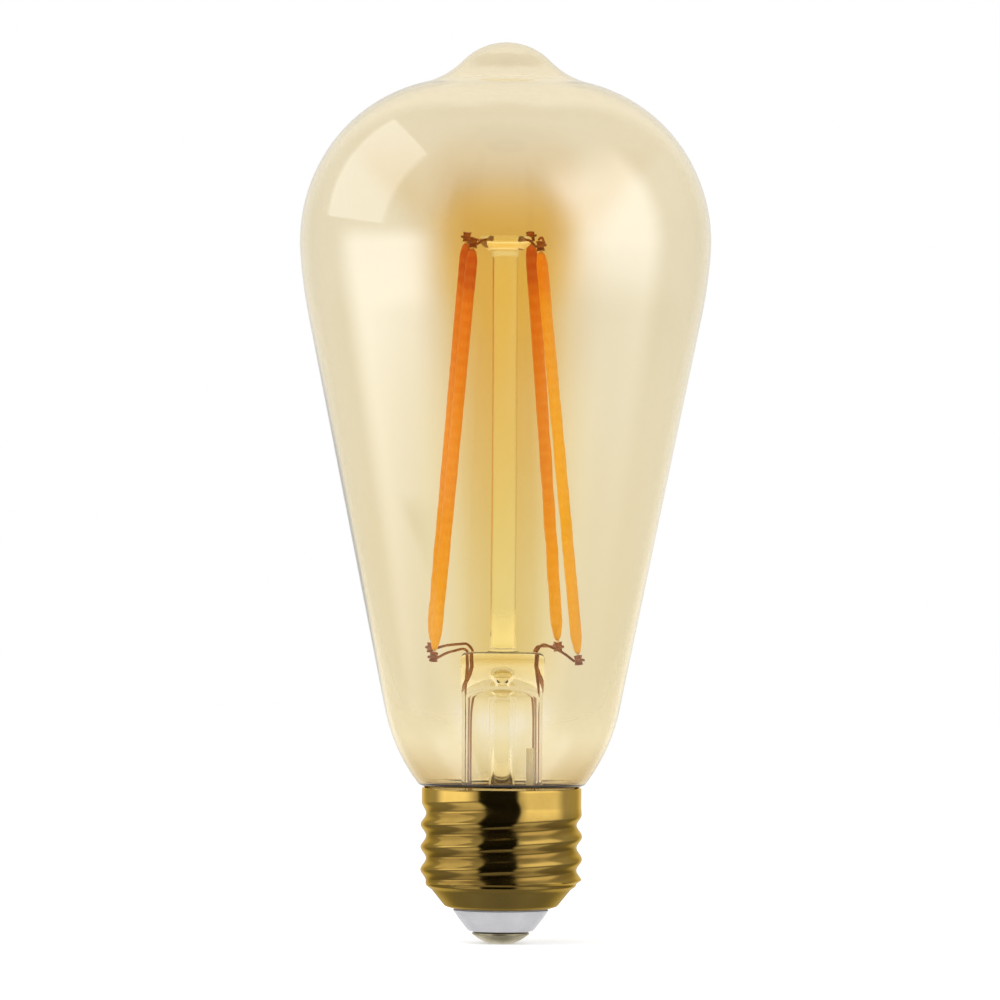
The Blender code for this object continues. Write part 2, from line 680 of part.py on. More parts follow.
def shell_ring(z, inward=0.0):
    """A ring of the shell's surface, or of its inside."""
    ring = []
    for i in range(SHELL_SEGMENTS):
        turn = i / SHELL_SEGMENTS
        radius = shell_radius(z, turn) - inward
        angle = pi + 2 * pi * turn
        ring.append(Vector((radius * cos(angle), radius * sin(angle), z)))
    return ring


def screw_shell():
    """The threaded brass shell, of even thickness, with its lip turned in under the insulator."""
    under = outline((ROOT_RADIUS, THREAD_BOTTOM), 90.0, SHELL_TAPER + SHELL_LIP, SHELL_SAG)
    rows = ceil((THREAD_TOP - THREAD_BOTTOM) / PITCH * ROWS_PER_TURN)
    step = (THREAD_TOP - THREAD_BOTTOM) / rows
    heights = [SHELL_TOP] + [THREAD_TOP - i * step for i in range(rows)]
    outside = [shell_ring(z) for z in heights] + [ellipse(-r, -r, z, SHELL_SEGMENTS) for r, z, _ in under]
    inner_under = [ellipse(-r, -r, z, SHELL_SEGMENTS) for r, z, _ in inset(under, SHELL_WALL)]
    inside = inner_under[::-1] + [shell_ring(z, SHELL_WALL) for z in heights[::-1]]
    mesh = lofted("screw_shell", outside + inside, loop=True)
    add("screw_shell", mesh, principled("brass_shell"))


def base_cement():
    """The ring of cement between the neck and the shell."""
    profile = [
        (CEMENT_INNER, CEMENT_TOP),
        (CEMENT_OUTER, CEMENT_TOP),
        (CEMENT_OUTER, CEMENT_BOTTOM),
        (CEMENT_INNER, CEMENT_BOTTOM),
    ]
    turned("base_cement", profile, ENVELOPE_SEGMENTS, principled("base_cement"), ring=True)


def insulator():
    """The pale ring that closes the shell and keeps the centre contact apart from it."""
    side = INSULATOR_FLANGE - INSULATOR_ROUND
    profile = [
        (INSULATOR_BORE, INSULATOR_TOP),
        (side, INSULATOR_TOP),
        (INSULATOR_FLANGE, INSULATOR_TOP - INSULATOR_ROUND),
        (side, INSULATOR_LIP + INSULATOR_ROUND / 2),
        (INSULATOR_NECK, INSULATOR_LIP),
        (INSULATOR_NECK, INSULATOR_STEP),
        (INSULATOR_SHOULDER, INSULATOR_STEP),
        (INSULATOR_FOOT, INSULATOR_BOTTOM),
        (INSULATOR_BORE, INSULATOR_BOTTOM),
    ]
    turned("insulator", profile, BASE_SEGMENTS, principled("insulator_glass"), ring=True)


def centre_contact():
    """The domed contact with a flat tip, riveted up through the insulator by its spigot."""
    first = asin(CONTACT_RADIUS / CONTACT_DOME)
    last = asin(CONTACT_FLAT / CONTACT_DOME)
    angles = [first + (last - first) * i / CONTACT_STEPS for i in range(CONTACT_STEPS + 1)]
    dome = [(CONTACT_DOME * sin(a), CONTACT_DOME * (cos(last) - cos(a))) for a in angles]
    top = [
        (0.0, SPIGOT_TOP),
        (SPIGOT_RADIUS, SPIGOT_TOP),
        (SPIGOT_RADIUS, CONTACT_RIM),
        (CONTACT_RADIUS - CONTACT_ROUND, CONTACT_RIM),
    ]
    turned("centre_contact", top + dome + [(0.0, 0.0)], BASE_SEGMENTS, principled("contact_metal"))


def driver_board():
    """The upright circuit board."""
    size = (BOARD_WIDTH, BOARD_THICKNESS, BOARD_TOP - BOARD_BOTTOM)
    centre = (0, 0, (BOARD_TOP + BOARD_BOTTOM) / 2)
    box("driver_board", size, centre, principled("driver_board"))


def chip(name, size, x, legs, material):
    """A surface-mounted chip in front of the board, with flat legs above and below its body."""
    centre = (x, FRONT_FACE - size[1] / 2, CHIP_Z)
    node = box(name, size, centre, material, CHIP_BEVEL)
    spacing = size[0] / legs
    leg = (spacing * LEG_SHARE, LEG_THICKNESS, size[2] + 2 * LEG_REACH)
    places = [x + (i - (legs - 1) / 2) * spacing for i in range(legs)]
    rows = [placed((place, FRONT_FACE - LEG_INSET, CHIP_Z), leg) for place in places]
    combine(node, tool(f"{name}.legs", rows), "UNION")


def front_parts():
    """The parts on the board's front face: the rectifier, the driver chip and the wireless module."""
    rectifier = principled("rectifier_case")
    chip("bridge_rectifier", RECTIFIER_SIZE, -CHIP_X, RECTIFIER_LEGS, rectifier)
    chip("driver_chip", DRIVER_SIZE, CHIP_X, DRIVER_LEGS, principled("driver_case"))
    thickness = MODULE_SIZE[1]
    module_centre = (0, FRONT_FACE - thickness / 2, MODULE_Z)
    box("wireless_module", MODULE_SIZE, module_centre, principled("module_board"))
    shield_centre = (0, FRONT_FACE - thickness - MOUNT_GAP - SHIELD_SIZE[1] / 2, SHIELD_Z)
    box("shield_can", SHIELD_SIZE, shield_centre, principled("shield_tin"), SHIELD_BEVEL, 2)


def bulk_capacitor():
    """The electrolytic capacitor behind the board, with the groove near its sealed end."""
    neck = BULK_RADIUS - BULK_RIM
    profile = [
        (0.0, BULK_TOP),
        (neck, BULK_TOP),
        (BULK_RADIUS, BULK_TOP - BULK_RIM),
        (BULK_RADIUS, BULK_GROOVE + BULK_RIM),
        (neck, BULK_GROOVE),
        (BULK_RADIUS, BULK_GROOVE - BULK_RIM),
        (neck, BULK_BOTTOM),
        (0.0, BULK_BOTTOM),
    ]
    sleeve = principled("capacitor_sleeve")
    turned("bulk_capacitor", profile, DRUM_SEGMENTS, sleeve, location=BULK_AXIS)


def power_inductor():
    """The drum-shaped choke behind the board."""
    profile = [
        (0.0, CHOKE_TOP),
        (CHOKE_RADIUS, CHOKE_TOP),
        (CHOKE_RADIUS, CHOKE_TOP - CHOKE_FLANGE),
        (CHOKE_WAIST, CHOKE_TOP - CHOKE_FLANGE),
        (CHOKE_WAIST, CHOKE_BOTTOM + CHOKE_FLANGE),
        (CHOKE_RADIUS, CHOKE_BOTTOM + CHOKE_FLANGE),
        (CHOKE_RADIUS, CHOKE_BOTTOM),
        (0.0, CHOKE_BOTTOM),
    ]
    turned("power_inductor", profile, DRUM_SEGMENTS, principled("ferrite"), location=CHOKE_AXIS)


def film_capacitor():
    """The filter capacitor above the choke."""
    box("film_capacitor", FILM_SIZE, FILM_CENTRE, principled("film_case"), FILM_BEVEL, 2)


def fuse_resistor():
    """The fusible resistor at the board's edge, with a stub of its lead at each end."""
    waist = FUSE_RADIUS * FUSE_WAIST
    profile = [
        (0.0, FUSE_TOP + FUSE_CAP),
        (FUSE_STUB, FUSE_TOP + FUSE_CAP),
        (FUSE_STUB, FUSE_TOP),
        (waist, FUSE_TOP),
        (FUSE_RADIUS, FUSE_TOP - FUSE_CAP),
        (FUSE_RADIUS, FUSE_BOTTOM + FUSE_CAP),
        (waist, FUSE_BOTTOM),
        (FUSE_STUB, FUSE_BOTTOM),
        (FUSE_STUB, FUSE_BOTTOM - FUSE_CAP),
        (0.0, FUSE_BOTTOM - FUSE_CAP),
    ]
    turned("fuse_resistor", profile, FUSE_SEGMENTS, principled("fuse_body"), location=FUSE_AXIS)


def base_leads():
    """The leads from the board to the shell and to the centre contact."""
    start_z, bend_z, end_z = SHELL_LEAD_Z
    board_x, shell_x = SHELL_LEAD_X
    to_shell = [
        (board_x, -WIRE_AT_BOARD, start_z),
        (board_x, -WIRE_AT_BOARD, bend_z),
        (shell_x, -WIRE_AT_BOARD, end_z),
    ]
    shell_tin = principled("lead_tin", "shell_tin")
    wire("shell_lead", bent(to_shell, SHELL_LEAD_BEND), BASE_LEAD_RADIUS, shell_tin)
    under = BOARD_BOTTOM - CONTACT_LEAD_DROP
    to_contact = [CONTACT_LEAD_START, (*CONTACT_LEAD_CORNER, under), (*CONTACT_LEAD_END, under)]
    contact_tin = principled("lead_tin", "contact_tin")
    wire("contact_lead", bent(to_contact, CONTACT_LEAD_BEND, 3), BASE_LEAD_RADIUS, contact_tin)


def antenna():
    """The antenna wire from the module up the flare, and its sleeve."""
    start_z, bend_z, top_z = ANTENNA_HEIGHTS
    path = [
        (*ANTENNA_ROOT, start_z),
        (*ANTENNA_ROOT, bend_z),
        (ANTENNA_X, ANTENNA_Y, top_z),
        (ANTENNA_X, ANTENNA_Y, ANTENNA_TOP - ANTENNA_END_GAP),
    ]
    tin = principled("lead_tin", "antenna_tin")
    wire("antenna_wire", bent(path, SHELL_LEAD_BEND), ANTENNA_RADIUS, tin)
    sleeve = [
        (SLEEVE_BORE, ANTENNA_TOP),
        (SLEEVE_RADIUS, ANTENNA_TOP),
        (SLEEVE_RADIUS, SLEEVE_BOTTOM),
        (SLEEVE_BORE, SLEEVE_BOTTOM),
    ]
    pale = principled("antenna_sleeve")
    axis = (ANTENNA_X, ANTENNA_Y, 0)
    turned("antenna_sleeve", sleeve, SLEEVE_SEGMENTS, pale, ring=True, location=axis)


def main():
    for old in list(bpy.data.objects):
        bpy.data.objects.remove(old, do_unlink=True)
    glass_envelope()
    stem_flare()
    stem_press()
    exhaust_tube()
    stem_rod()
    rod_button()
    filaments()
    lead_wires()
    hook_wires()
    screw_shell()
    base_cement()
    insulator()
    centre_contact()
    driver_board()
    front_parts()
    bulk_capacitor()
    power_inductor()
    film_capacitor()
    fuse_resistor()
    base_leads()
    antenna()


main()
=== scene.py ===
"""The looks of the smart filament bulb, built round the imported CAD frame.

Metres, +Z up the bulb's axis, the origin at the tip of the centre contact. The camera looks along +Y.
A piece's azimuth is in degrees round +Z from +X. A light's is from the camera's side, positive to the
camera's right.
"""

from math import acos, atan2, ceil, cos, degrees, floor, pi, radians, sin

import bmesh
import bpy
from mathutils import Matrix, Vector


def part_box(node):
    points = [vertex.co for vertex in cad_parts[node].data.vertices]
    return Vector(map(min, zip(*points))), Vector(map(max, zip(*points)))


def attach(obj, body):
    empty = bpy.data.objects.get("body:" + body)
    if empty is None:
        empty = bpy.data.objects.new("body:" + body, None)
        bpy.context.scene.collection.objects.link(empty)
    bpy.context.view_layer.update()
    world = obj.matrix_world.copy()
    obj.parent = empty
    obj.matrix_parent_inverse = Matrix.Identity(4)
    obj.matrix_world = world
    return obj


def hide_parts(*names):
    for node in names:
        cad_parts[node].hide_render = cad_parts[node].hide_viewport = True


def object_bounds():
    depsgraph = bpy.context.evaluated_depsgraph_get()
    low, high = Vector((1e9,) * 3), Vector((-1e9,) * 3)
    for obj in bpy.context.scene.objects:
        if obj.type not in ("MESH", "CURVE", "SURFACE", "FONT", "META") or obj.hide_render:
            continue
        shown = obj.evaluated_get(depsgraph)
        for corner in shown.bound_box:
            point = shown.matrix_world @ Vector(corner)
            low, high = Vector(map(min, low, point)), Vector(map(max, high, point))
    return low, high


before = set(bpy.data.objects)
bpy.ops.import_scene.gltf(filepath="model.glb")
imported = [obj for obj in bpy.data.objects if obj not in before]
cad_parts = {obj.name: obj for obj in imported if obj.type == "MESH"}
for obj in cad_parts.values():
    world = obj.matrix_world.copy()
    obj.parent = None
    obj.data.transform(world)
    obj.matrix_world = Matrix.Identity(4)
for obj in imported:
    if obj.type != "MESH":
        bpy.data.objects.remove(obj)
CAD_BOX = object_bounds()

MM = 0.001
PLACES = {"front_right": -30.0, "back_right": 50.0, "back_left": 147.0, "front_left": 218.0}
HEADS = {"front_right": -37.7, "back_right": 55.3, "back_left": 151.0, "front_left": 223.0}


def top_of(node):
    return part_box(node)[1].z


def bottom_of(node):
    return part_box(node)[0].z


def reach_of(node):
    """How far a turned node reaches from the bulb's axis."""
    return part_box(node)[1].x


ENVELOPE_TOP = top_of("glass_envelope")
ENVELOPE_WALL = 0.7 * MM
BULB_RADIUS = reach_of("glass_envelope")
SHELL_TOP = top_of("screw_shell")
SHELL_WALL = 0.3 * MM
FLARE_RADIUS = reach_of("stem_press")
FLARE_WALL = 0.9 * MM
PRESS_TOP = top_of("stem_press")
ROD_RADIUS = reach_of("stem_rod")
BUTTON_TOP = top_of("rod_button")
BUTTON_RADIUS = reach_of("rod_button")
EXHAUST_TIP = bottom_of("exhaust_tube")
EXHAUST_RADIUS = reach_of("exhaust_tube")
EXHAUST_BORE = 1.3 * MM
COAT_LENGTH = 64.5 * MM
FOOT_RADIUS = 13.8 * MM
HEAD_RADIUS = 7.2 * MM
FOOT_HEIGHTS = {"front_right": 46.9, "back_right": 48.6, "back_left": 48.4, "front_left": 47.3}
COAT_HALF_WIDTH = 1.03 * MM
COAT_HALF_DEPTH = 0.89 * MM
CRIMP_RADIUS = 0.7 * MM
CRIMP_HALF = 0.75 * MM
CRIMP_GAP = 1.05 * MM

# Wires. The places in the press and the rises over it are in millimetres.
PRESS_X = {"front_right": 5.3, "back_right": 5.0, "back_left": -4.7, "front_left": -5.5}
ARCHES = {"front_right": 1.5, "back_right": 0.9, "back_left": 1.3, "front_left": 0.6}
LEAD_RADIUS = 0.22 * MM
HOOK_RADIUS = 0.2 * MM
LOOP_RADIUS = 0.86 * MM
WIRE_SIDES = 12
BEAD_START = 0.985
BEAD_SCALE = 1.35

# The screw shell's thread, its run-out as shares of a turn, and its band.
SHELL_SIDES = 168
SHELL_BOTTOM = 9.62 * MM
THREAD_PITCH = 3.629 * MM
CREST_HEIGHT = 15.45 * MM
CREST_RADIUS = 13.02 * MM
ROOT_RADIUS = 12.14 * MM
RUN_OUT_START = 0.17
RUN_OUT_END = 0.31
BAND_START = 19.8 * MM
BAND_FULL = 22.0 * MM
BAND_RADIUS = 12.86 * MM

# Glass, and the studio: the white world's level in mirrors, above and below, and the cards' grid.
AMBER_IOR = 1.34
CLEAR_IOR = 1.36
AMBIENT = 0.5
AMBIENT_BELOW = 0.3
PANEL_STEPS = 12


# Meshes.


def link(name, mesh, materials):
    """An object with its materials, in the scene."""
    for one in materials:
        mesh.materials.append(one)
    piece = bpy.data.objects.new(name, mesh)
    bpy.context.scene.collection.objects.link(piece)
    return piece


def part(name, mesh, materials, slot, nodes, matrix=None):
    """A piece of the object: it rides on the one body and stands for CAD nodes."""
    piece = link(name, mesh, materials)
    if matrix:
        piece.matrix_world = matrix
        bpy.context.view_layer.update()
    piece.visible_glossy = slot in ("amber_glass", "brass", "insulator", "contact")
    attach(piece, "root")
    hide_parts(*nodes)
    return piece


def skin(name, strips, sharp=40.0, paint=None):
    """A mesh through rings of points, listed down its outer side.

    A ring of one point closes a strip, and a strip that ends with its first ring is a closed loop.
    paint gives a face's material index from its strip's number and its ring's number.
    """
    build = bmesh.new()
    for number, rings in enumerate(strips):
        closed = rings[0] is rings[-1]
        kept = rings[:-1] if closed else rings
        rows = [[build.verts.new(point) for point in ring] for ring in kept]
        if closed:
            rows.append(rows[0])
        for level, (upper, lower) in enumerate(zip(rows, rows[1:])):
            count = max(len(upper), len(lower))
            for i in range(count):
                j = (i + 1) % count
                left = [upper[i % len(upper)], lower[i % len(lower)]]
                right = [lower[j % len(lower)], upper[j % len(upper)]]
                face = build.faces.new(list(dict.fromkeys(left + right)))
                face.material_index = paint(number, level) if paint else 0
    mesh = bpy.data.meshes.new(name)
    build.to_mesh(mesh)
    build.free()
    mesh.shade_smooth()
    mesh.set_sharp_from_angle(angle=radians(sharp))
    return mesh


def turns(count):
    """Evenly spaced angles of a full turn."""
    return [2 * pi * i / count for i in range(count)]


def circle(radius, z, count=96):
    """A ring round the Z axis, or one point where the radius is nothing."""
    if radius <= 0:
        return [Vector((0, 0, z))]
    return [Vector((radius * cos(a), radius * sin(a), z)) for a in turns(count)]


def squircle(half_width, half_depth, z, power, count=96):
    """A ring between an ellipse, at power 2, and a rectangle with round corners."""
    ring = []
    for a in turns(count):
        across, deep = cos(a), sin(a)
        reach = (abs(across) ** power + abs(deep) ** power) ** (-1 / power)
        ring.append(Vector((half_width * across * reach, half_depth * deep * reach, z)))
    return ring


def mixed_ring(first, second, share):
    return [a.lerp(b, share) for a, b in zip(first, second)]


def turned(name, profile, count, ring=False, sharp=40.0, paint=None):
    """A turned mesh from (radius, height) points down its outer side."""
    rings = [circle(r, z, count) for r, z in profile]
    if ring:
        rings.append(rings[0])
    return skin(name, [rings], sharp, paint)


def outline(start, heading, moves, sag):
    """(r, z, heading) along tangent moves, as a radius with its end heading or a length with None.

    A heading is in degrees: 0 outward, 90 down, 180 inward.
    """
    r, z = start
    points = [(r, z, heading)]
    for size, end in moves:
        if end is None:
            r += size * cos(radians(heading))
            z -= size * sin(radians(heading))
            points.append((r, z, heading))
            continue
        largest = degrees(2 * acos(1 - sag / size))
        count = ceil(abs(end - heading) / largest)
        turn = (end - heading) / count
        chord = 2 * size * sin(radians(abs(turn)) / 2)
        for _ in range(count):
            middle = radians(heading + turn / 2)
            r += chord * cos(middle)
            z -= chord * sin(middle)
            heading += turn
            points.append((r, z, heading))
    return points


def inset(points, wall):
    """An outline moved inward by a wall's thickness."""
    return [(r - wall * sin(radians(h)), z - wall * cos(radians(h)), h) for r, z, h in points]


def rounded(points, radius, steps=6):
    """A path, in any number of dimensions, with each corner rounded."""
    path = [Vector(points[0])]
    for before, corner, after in zip(points, points[1:], points[2:]):
        before, corner, after = Vector(before), Vector(corner), Vector(after)
        reach = min(radius, (before - corner).length / 2.05, (after - corner).length / 2.05)
        start = corner + (before - corner).normalized() * reach
        end = corner + (after - corner).normalized() * reach
        for i in range(steps + 1):
            t = i / steps
            path.append(start * (1 - t) ** 2 + corner * 2 * t * (1 - t) + end * t**2)
    path.append(Vector(points[-1]))
    return path


def tube_mesh(name, path, radius, bead=1.0):
    """A round wire along a path with rounded ends. bead scales its radius at its last point."""
    kept = [path[0]]
    for point in path[1:]:
        if (point - kept[-1]).length > radius * 0.35:
            kept.append(point)
    rings = []
    side = (kept[1] - kept[0]).orthogonal().normalized()
    total = len(kept) - 1
    for i, point in enumerate(kept):
        ahead = (kept[min(i + 1, total)] - kept[max(i - 1, 0)]).normalized()
        side = (side - ahead * side.dot(ahead)).normalized()
        other = ahead.cross(side)
        size = radius * (bead if i / total >= BEAD_START else 1.0)
        ring = [point + (side * cos(a) + other * sin(a)) * size for a in turns(WIRE_SIDES)]
        shrunk = [point + (p - point) * 0.7 for p in ring]
        if i == 0:
            rings.append([point - ahead * size * 0.6])
            rings.append([p - ahead * size * 0.4 for p in shrunk])
        rings.append(ring)
        if i == total:
            rings.append([p + ahead * size * 0.4 for p in shrunk])
            rings.append([point + ahead * size * 0.6])
    return skin(name, [rings[::-1]], 60.0)


# Materials.


def node(tree, kind, inputs=None, **settings):
    """A shader node. inputs maps sockets to values or to other sockets."""
    made = tree.nodes.new("ShaderNode" + kind)
    for key, value in settings.items():
        setattr(made, key, value)
    for key, value in (inputs or {}).items():
        if isinstance(value, bpy.types.NodeSocket):
            tree.links.new(value, made.inputs[key])
        else:
            made.inputs[key].default_value = value
    return made


def blank(name):
    made = bpy.data.materials.new(name)
    made.use_nodes = True
    made.node_tree.nodes.clear()
    return made, made.node_tree


def place(tree):
    return node(tree, "TexCoord").outputs["Object"]


def scaled(tree, vector, scale):
    return node(tree, "Mapping", {"Vector": vector, "Scale": scale}).outputs[0]


def noise(tree, vector, scale, detail=3.0, roughness=0.5):
    inputs = {"Vector": vector, "Scale": scale, "Detail": detail, "Roughness": roughness}
    return node(tree, "TexNoise", inputs).outputs["Fac"]


def waves(tree, vector, scale):
    """Level bands up the Z axis."""
    inputs = {"Vector": scaled(tree, vector, (0, 0, 1)), "Scale": scale}
    return node(tree, "TexWave", inputs, bands_direction="Z").outputs["Fac"]


def ramp(tree, value, low, high, to_low=0.0, to_high=1.0, smooth=False):
    """A value carried from one range to another, and held at its ends."""
    inputs = {"Value": value, "From Min": low, "From Max": high, "To Min": to_low, "To Max": to_high}
    kind = "SMOOTHSTEP" if smooth else "LINEAR"
    return node(tree, "MapRange", inputs, interpolation_type=kind).outputs[0]


def mix(tree, share, first, second, mode="MIX"):
    made = node(tree, "Mix", data_type="RGBA", blend_type=mode)
    for socket, value in ((0, share), (6, first), (7, second)):
        if isinstance(value, bpy.types.NodeSocket):
            tree.links.new(value, made.inputs[socket])
        else:
            made.inputs[socket].default_value = value
    return made.outputs[2]


def maths(tree, operation, first, second=0.0):
    return node(tree, "Math", {0: first, 1: second}, operation=operation).outputs[0]


def product(tree, first, *others):
    for other in others:
        first = maths(tree, "MULTIPLY", first, other)
    return first


def height_of(tree, vector):
    return node(tree, "SeparateXYZ", {0: vector}).outputs["Z"]


def radius_of(tree, vector):
    parts = node(tree, "SeparateXYZ", {0: vector})
    flat = node(tree, "CombineXYZ", {0: parts.outputs["X"], 1: parts.outputs["Y"]}).outputs[0]
    return node(tree, "VectorMath", {0: flat}, operation="LENGTH").outputs["Value"]


def facing(tree):
    """0 where the glass faces the eye, up to 1 where it turns away."""
    return node(tree, "LayerWeight", {"Blend": 0.5}).outputs["Facing"]


def bump(tree, height, strength, distance):
    inputs = {"Height": height, "Strength": strength, "Distance": distance}
    return node(tree, "Bump", inputs).outputs[0]


def close(made, tree, shader):
    out = node(tree, "OutputMaterial")
    tree.links.new(shader, out.inputs["Surface"])
    return made


def rgb(red, green, blue):
    return (red, green, blue, 1.0)


def surface(tree, **inputs):
    """A Principled shader. Its sockets' names have _ for a space."""
    named = {key.replace("_", " "): value for key, value in inputs.items()}
    return node(tree, "BsdfPrincipled", named).outputs[0]


def lamp_clear(tree, shader, tint):
    """Glass that lets the lamps' light through, tinted."""
    clear = node(tree, "BsdfTransparent", {"Color": tint}).outputs[0]
    shadow = node(tree, "LightPath").outputs["Is Shadow Ray"]
    return node(tree, "MixShader", {0: shadow, 1: shader, 2: clear}).outputs[0]


def amber_tint(tree, at, z, away):
    """The glass's own amber, deep where the glass is face on and paler where it turns away; that paleness
    is painted reflection. Painted shade deepens the amber above the button, and a painted reflection of
    the brass tints the glass just above the shell.
    """
    upper = ramp(tree, z, 52 * MM, 100 * MM, smooth=True)
    deep = mix(tree, upper, rgb(0.735, 0.53, 0.16), rgb(0.715, 0.39, 0.036))
    pale = mix(tree, upper, rgb(0.87, 0.74, 0.45), rgb(0.88, 0.76, 0.5))
    # Painted shade: the amber goes deeper from just above the button upward.
    shade_above_button = ramp(tree, z, 108 * MM, 115 * MM, smooth=True)
    deep = mix(tree, shade_above_button, deep, rgb(0.66, 0.37, 0.045))
    tilt = maths(tree, "POWER", ramp(tree, z, 112 * MM, 130 * MM, 0.0, 0.51), 2.0)
    # Painted reflection: where the glass turns away the tint goes pale, in place of the white it would
    # mirror there.
    face_on = ramp(tree, maths(tree, "SUBTRACT", away, tilt), 0.01, 0.085, 1.0, 0.0, True)
    above_flare = ramp(tree, z, 38 * MM, 47 * MM, smooth=True)
    under_pip = ramp(tree, z, 136 * MM, 114 * MM, smooth=True)
    tint = mix(tree, product(tree, face_on, above_flare, under_pip), pale, deep)
    middle = ramp(tree, away, 0.03, 0.09, 1.0, 0.0, True)
    low = ramp(tree, z, 41 * MM, 35 * MM, smooth=True)
    tint = mix(tree, product(tree, middle, low), tint, rgb(0.93, 0.88, 0.79))
    pip = ramp(tree, z, 128 * MM, 138 * MM, smooth=True)
    tint = mix(tree, pip, tint, rgb(0.82, 0.69, 0.42))
    cloud = ramp(tree, noise(tree, at, 38.0, 2.0), 0.3, 0.7, 0.0, 0.1)
    tint = mix(tree, cloud, tint, rgb(0.97, 0.9, 0.75))
    # Painted reflection: just above the shell the tint turns brass-coloured where the glass turns away,
    # in place of the brass mirrored in it.
    brass_reflection = ramp(tree, z, SHELL_TOP + 9 * MM, SHELL_TOP - 1 * MM, smooth=True)
    side = ramp(tree, away, 0.04, 0.3, 0.1, 1.0, True)
    return mix(tree, product(tree, brass_reflection, side), tint, rgb(0.52, 0.34, 0.1))


def lustre(tree, at, z, away):
    """The film's share of the outer face: least where it is face on, most round the belly."""
    belly = ramp(tree, z, 80 * MM, 108 * MM, smooth=True)
    plain = ramp(tree, away, 0.06, 0.24, 0.005, 0.13, True)
    bright = ramp(tree, away, 0.025, 0.1, 0.005, 0.19, True)
    gain = product(tree, belly, maths(tree, "SUBTRACT", bright, plain))
    uneven = ramp(tree, noise(tree, at, 25.0, 2.0), 0.3, 0.7, 0.9, 1.1)
    inside = node(tree, "NewGeometry").outputs["Backfacing"]
    share = product(tree, maths(tree, "ADD", plain, gain), uneven)
    return product(tree, share, maths(tree, "SUBTRACT", 1.0, inside))


def amber_outside():
    """The envelope's outer face: tinted glass under a film that mirrors."""
    made, tree = blank("amber_glass")
    at = place(tree)
    z = height_of(tree, at)
    away = facing(tree)
    ripple = noise(tree, scaled(tree, at, (1, 1, 0.35)), 60.0, 1.0)
    normal = bump(tree, ripple, 0.05, 0.4 * MM)
    rim = ramp(tree, away, 0.45, 0.9, smooth=True)
    warm = mix(tree, rim, rgb(1.0, 1.0, 1.0), rgb(1.0, 0.9, 0.68))
    glass = surface(
        tree,
        Base_Color=amber_tint(tree, at, z, away),
        Roughness=0.0,
        IOR=AMBER_IOR,
        Specular_Tint=warm,
        Transmission_Weight=1.0,
        Normal=normal,
    )
    film = node(tree, "BsdfGlossy", {"Color": warm, "Roughness": 0.0, "Normal": normal})
    share = lustre(tree, at, z, away)
    coated = node(tree, "MixShader", {0: share, 1: glass, 2: film.outputs[0]}).outputs[0]
    return close(made, tree, lamp_clear(tree, coated, rgb(0.94, 0.84, 0.62)))


def amber_inside():
    """The envelope's inner face and its edge in the base."""
    made, tree = blank("amber_glass_inside")
    cloud = noise(tree, place(tree), 30.0, 2.0)
    tint = mix(tree, cloud, rgb(0.98, 0.97, 0.93), rgb(1.0, 0.99, 0.96))
    glass = surface(tree, Base_Color=tint, Roughness=0.0, IOR=AMBER_IOR, Transmission_Weight=1.0)
    return close(made, tree, lamp_clear(tree, glass, rgb(0.98, 0.96, 0.92)))


def clear_glass(name, edge_start, edge_end, edge_share, glow=0.0):
    """The stem's glass, yellower in the press, with painted shade darkening it where it turns away.

    The share of the painted dark edge grows from edge_start to edge_end of facing away. glow is the
    strength of a painted glow, an emission that stands in for light the glass scatters.
    """
    made, tree = blank(name)
    at = place(tree)
    z = height_of(tree, at)
    body = mix(tree, noise(tree, at, 90.0, 2.0), rgb(0.98, 0.96, 0.88), rgb(1.0, 0.99, 0.94))
    from_below = ramp(tree, z, PRESS_TOP - 8 * MM, PRESS_TOP - 4 * MM, smooth=True)
    to_top = ramp(tree, z, PRESS_TOP + 2 * MM, PRESS_TOP, smooth=True)
    body = mix(tree, product(tree, from_below, to_top), body, rgb(0.84, 0.77, 0.54))
    # Painted shade: the glass is tinted dark brown where it turns away.
    edge = ramp(tree, facing(tree), edge_start, edge_end, 0.0, edge_share, True)
    wave = noise(tree, scaled(tree, at, (1, 1, 0.2)), 300.0, 1.5)
    glass = surface(
        tree,
        Base_Color=mix(tree, edge, body, rgb(0.5, 0.32, 0.1)),
        Roughness=0.0,
        IOR=CLEAR_IOR,
        Transmission_Weight=1.0,
        # Painted light: this emission makes the glass glow though it is no lamp.
        Emission_Color=rgb(0.72, 1.0, 0.68),
        Emission_Strength=glow,
        Normal=bump(tree, wave, 0.08, 0.2 * MM),
    )
    return close(made, tree, lamp_clear(tree, glass, rgb(0.96, 0.95, 0.9)))


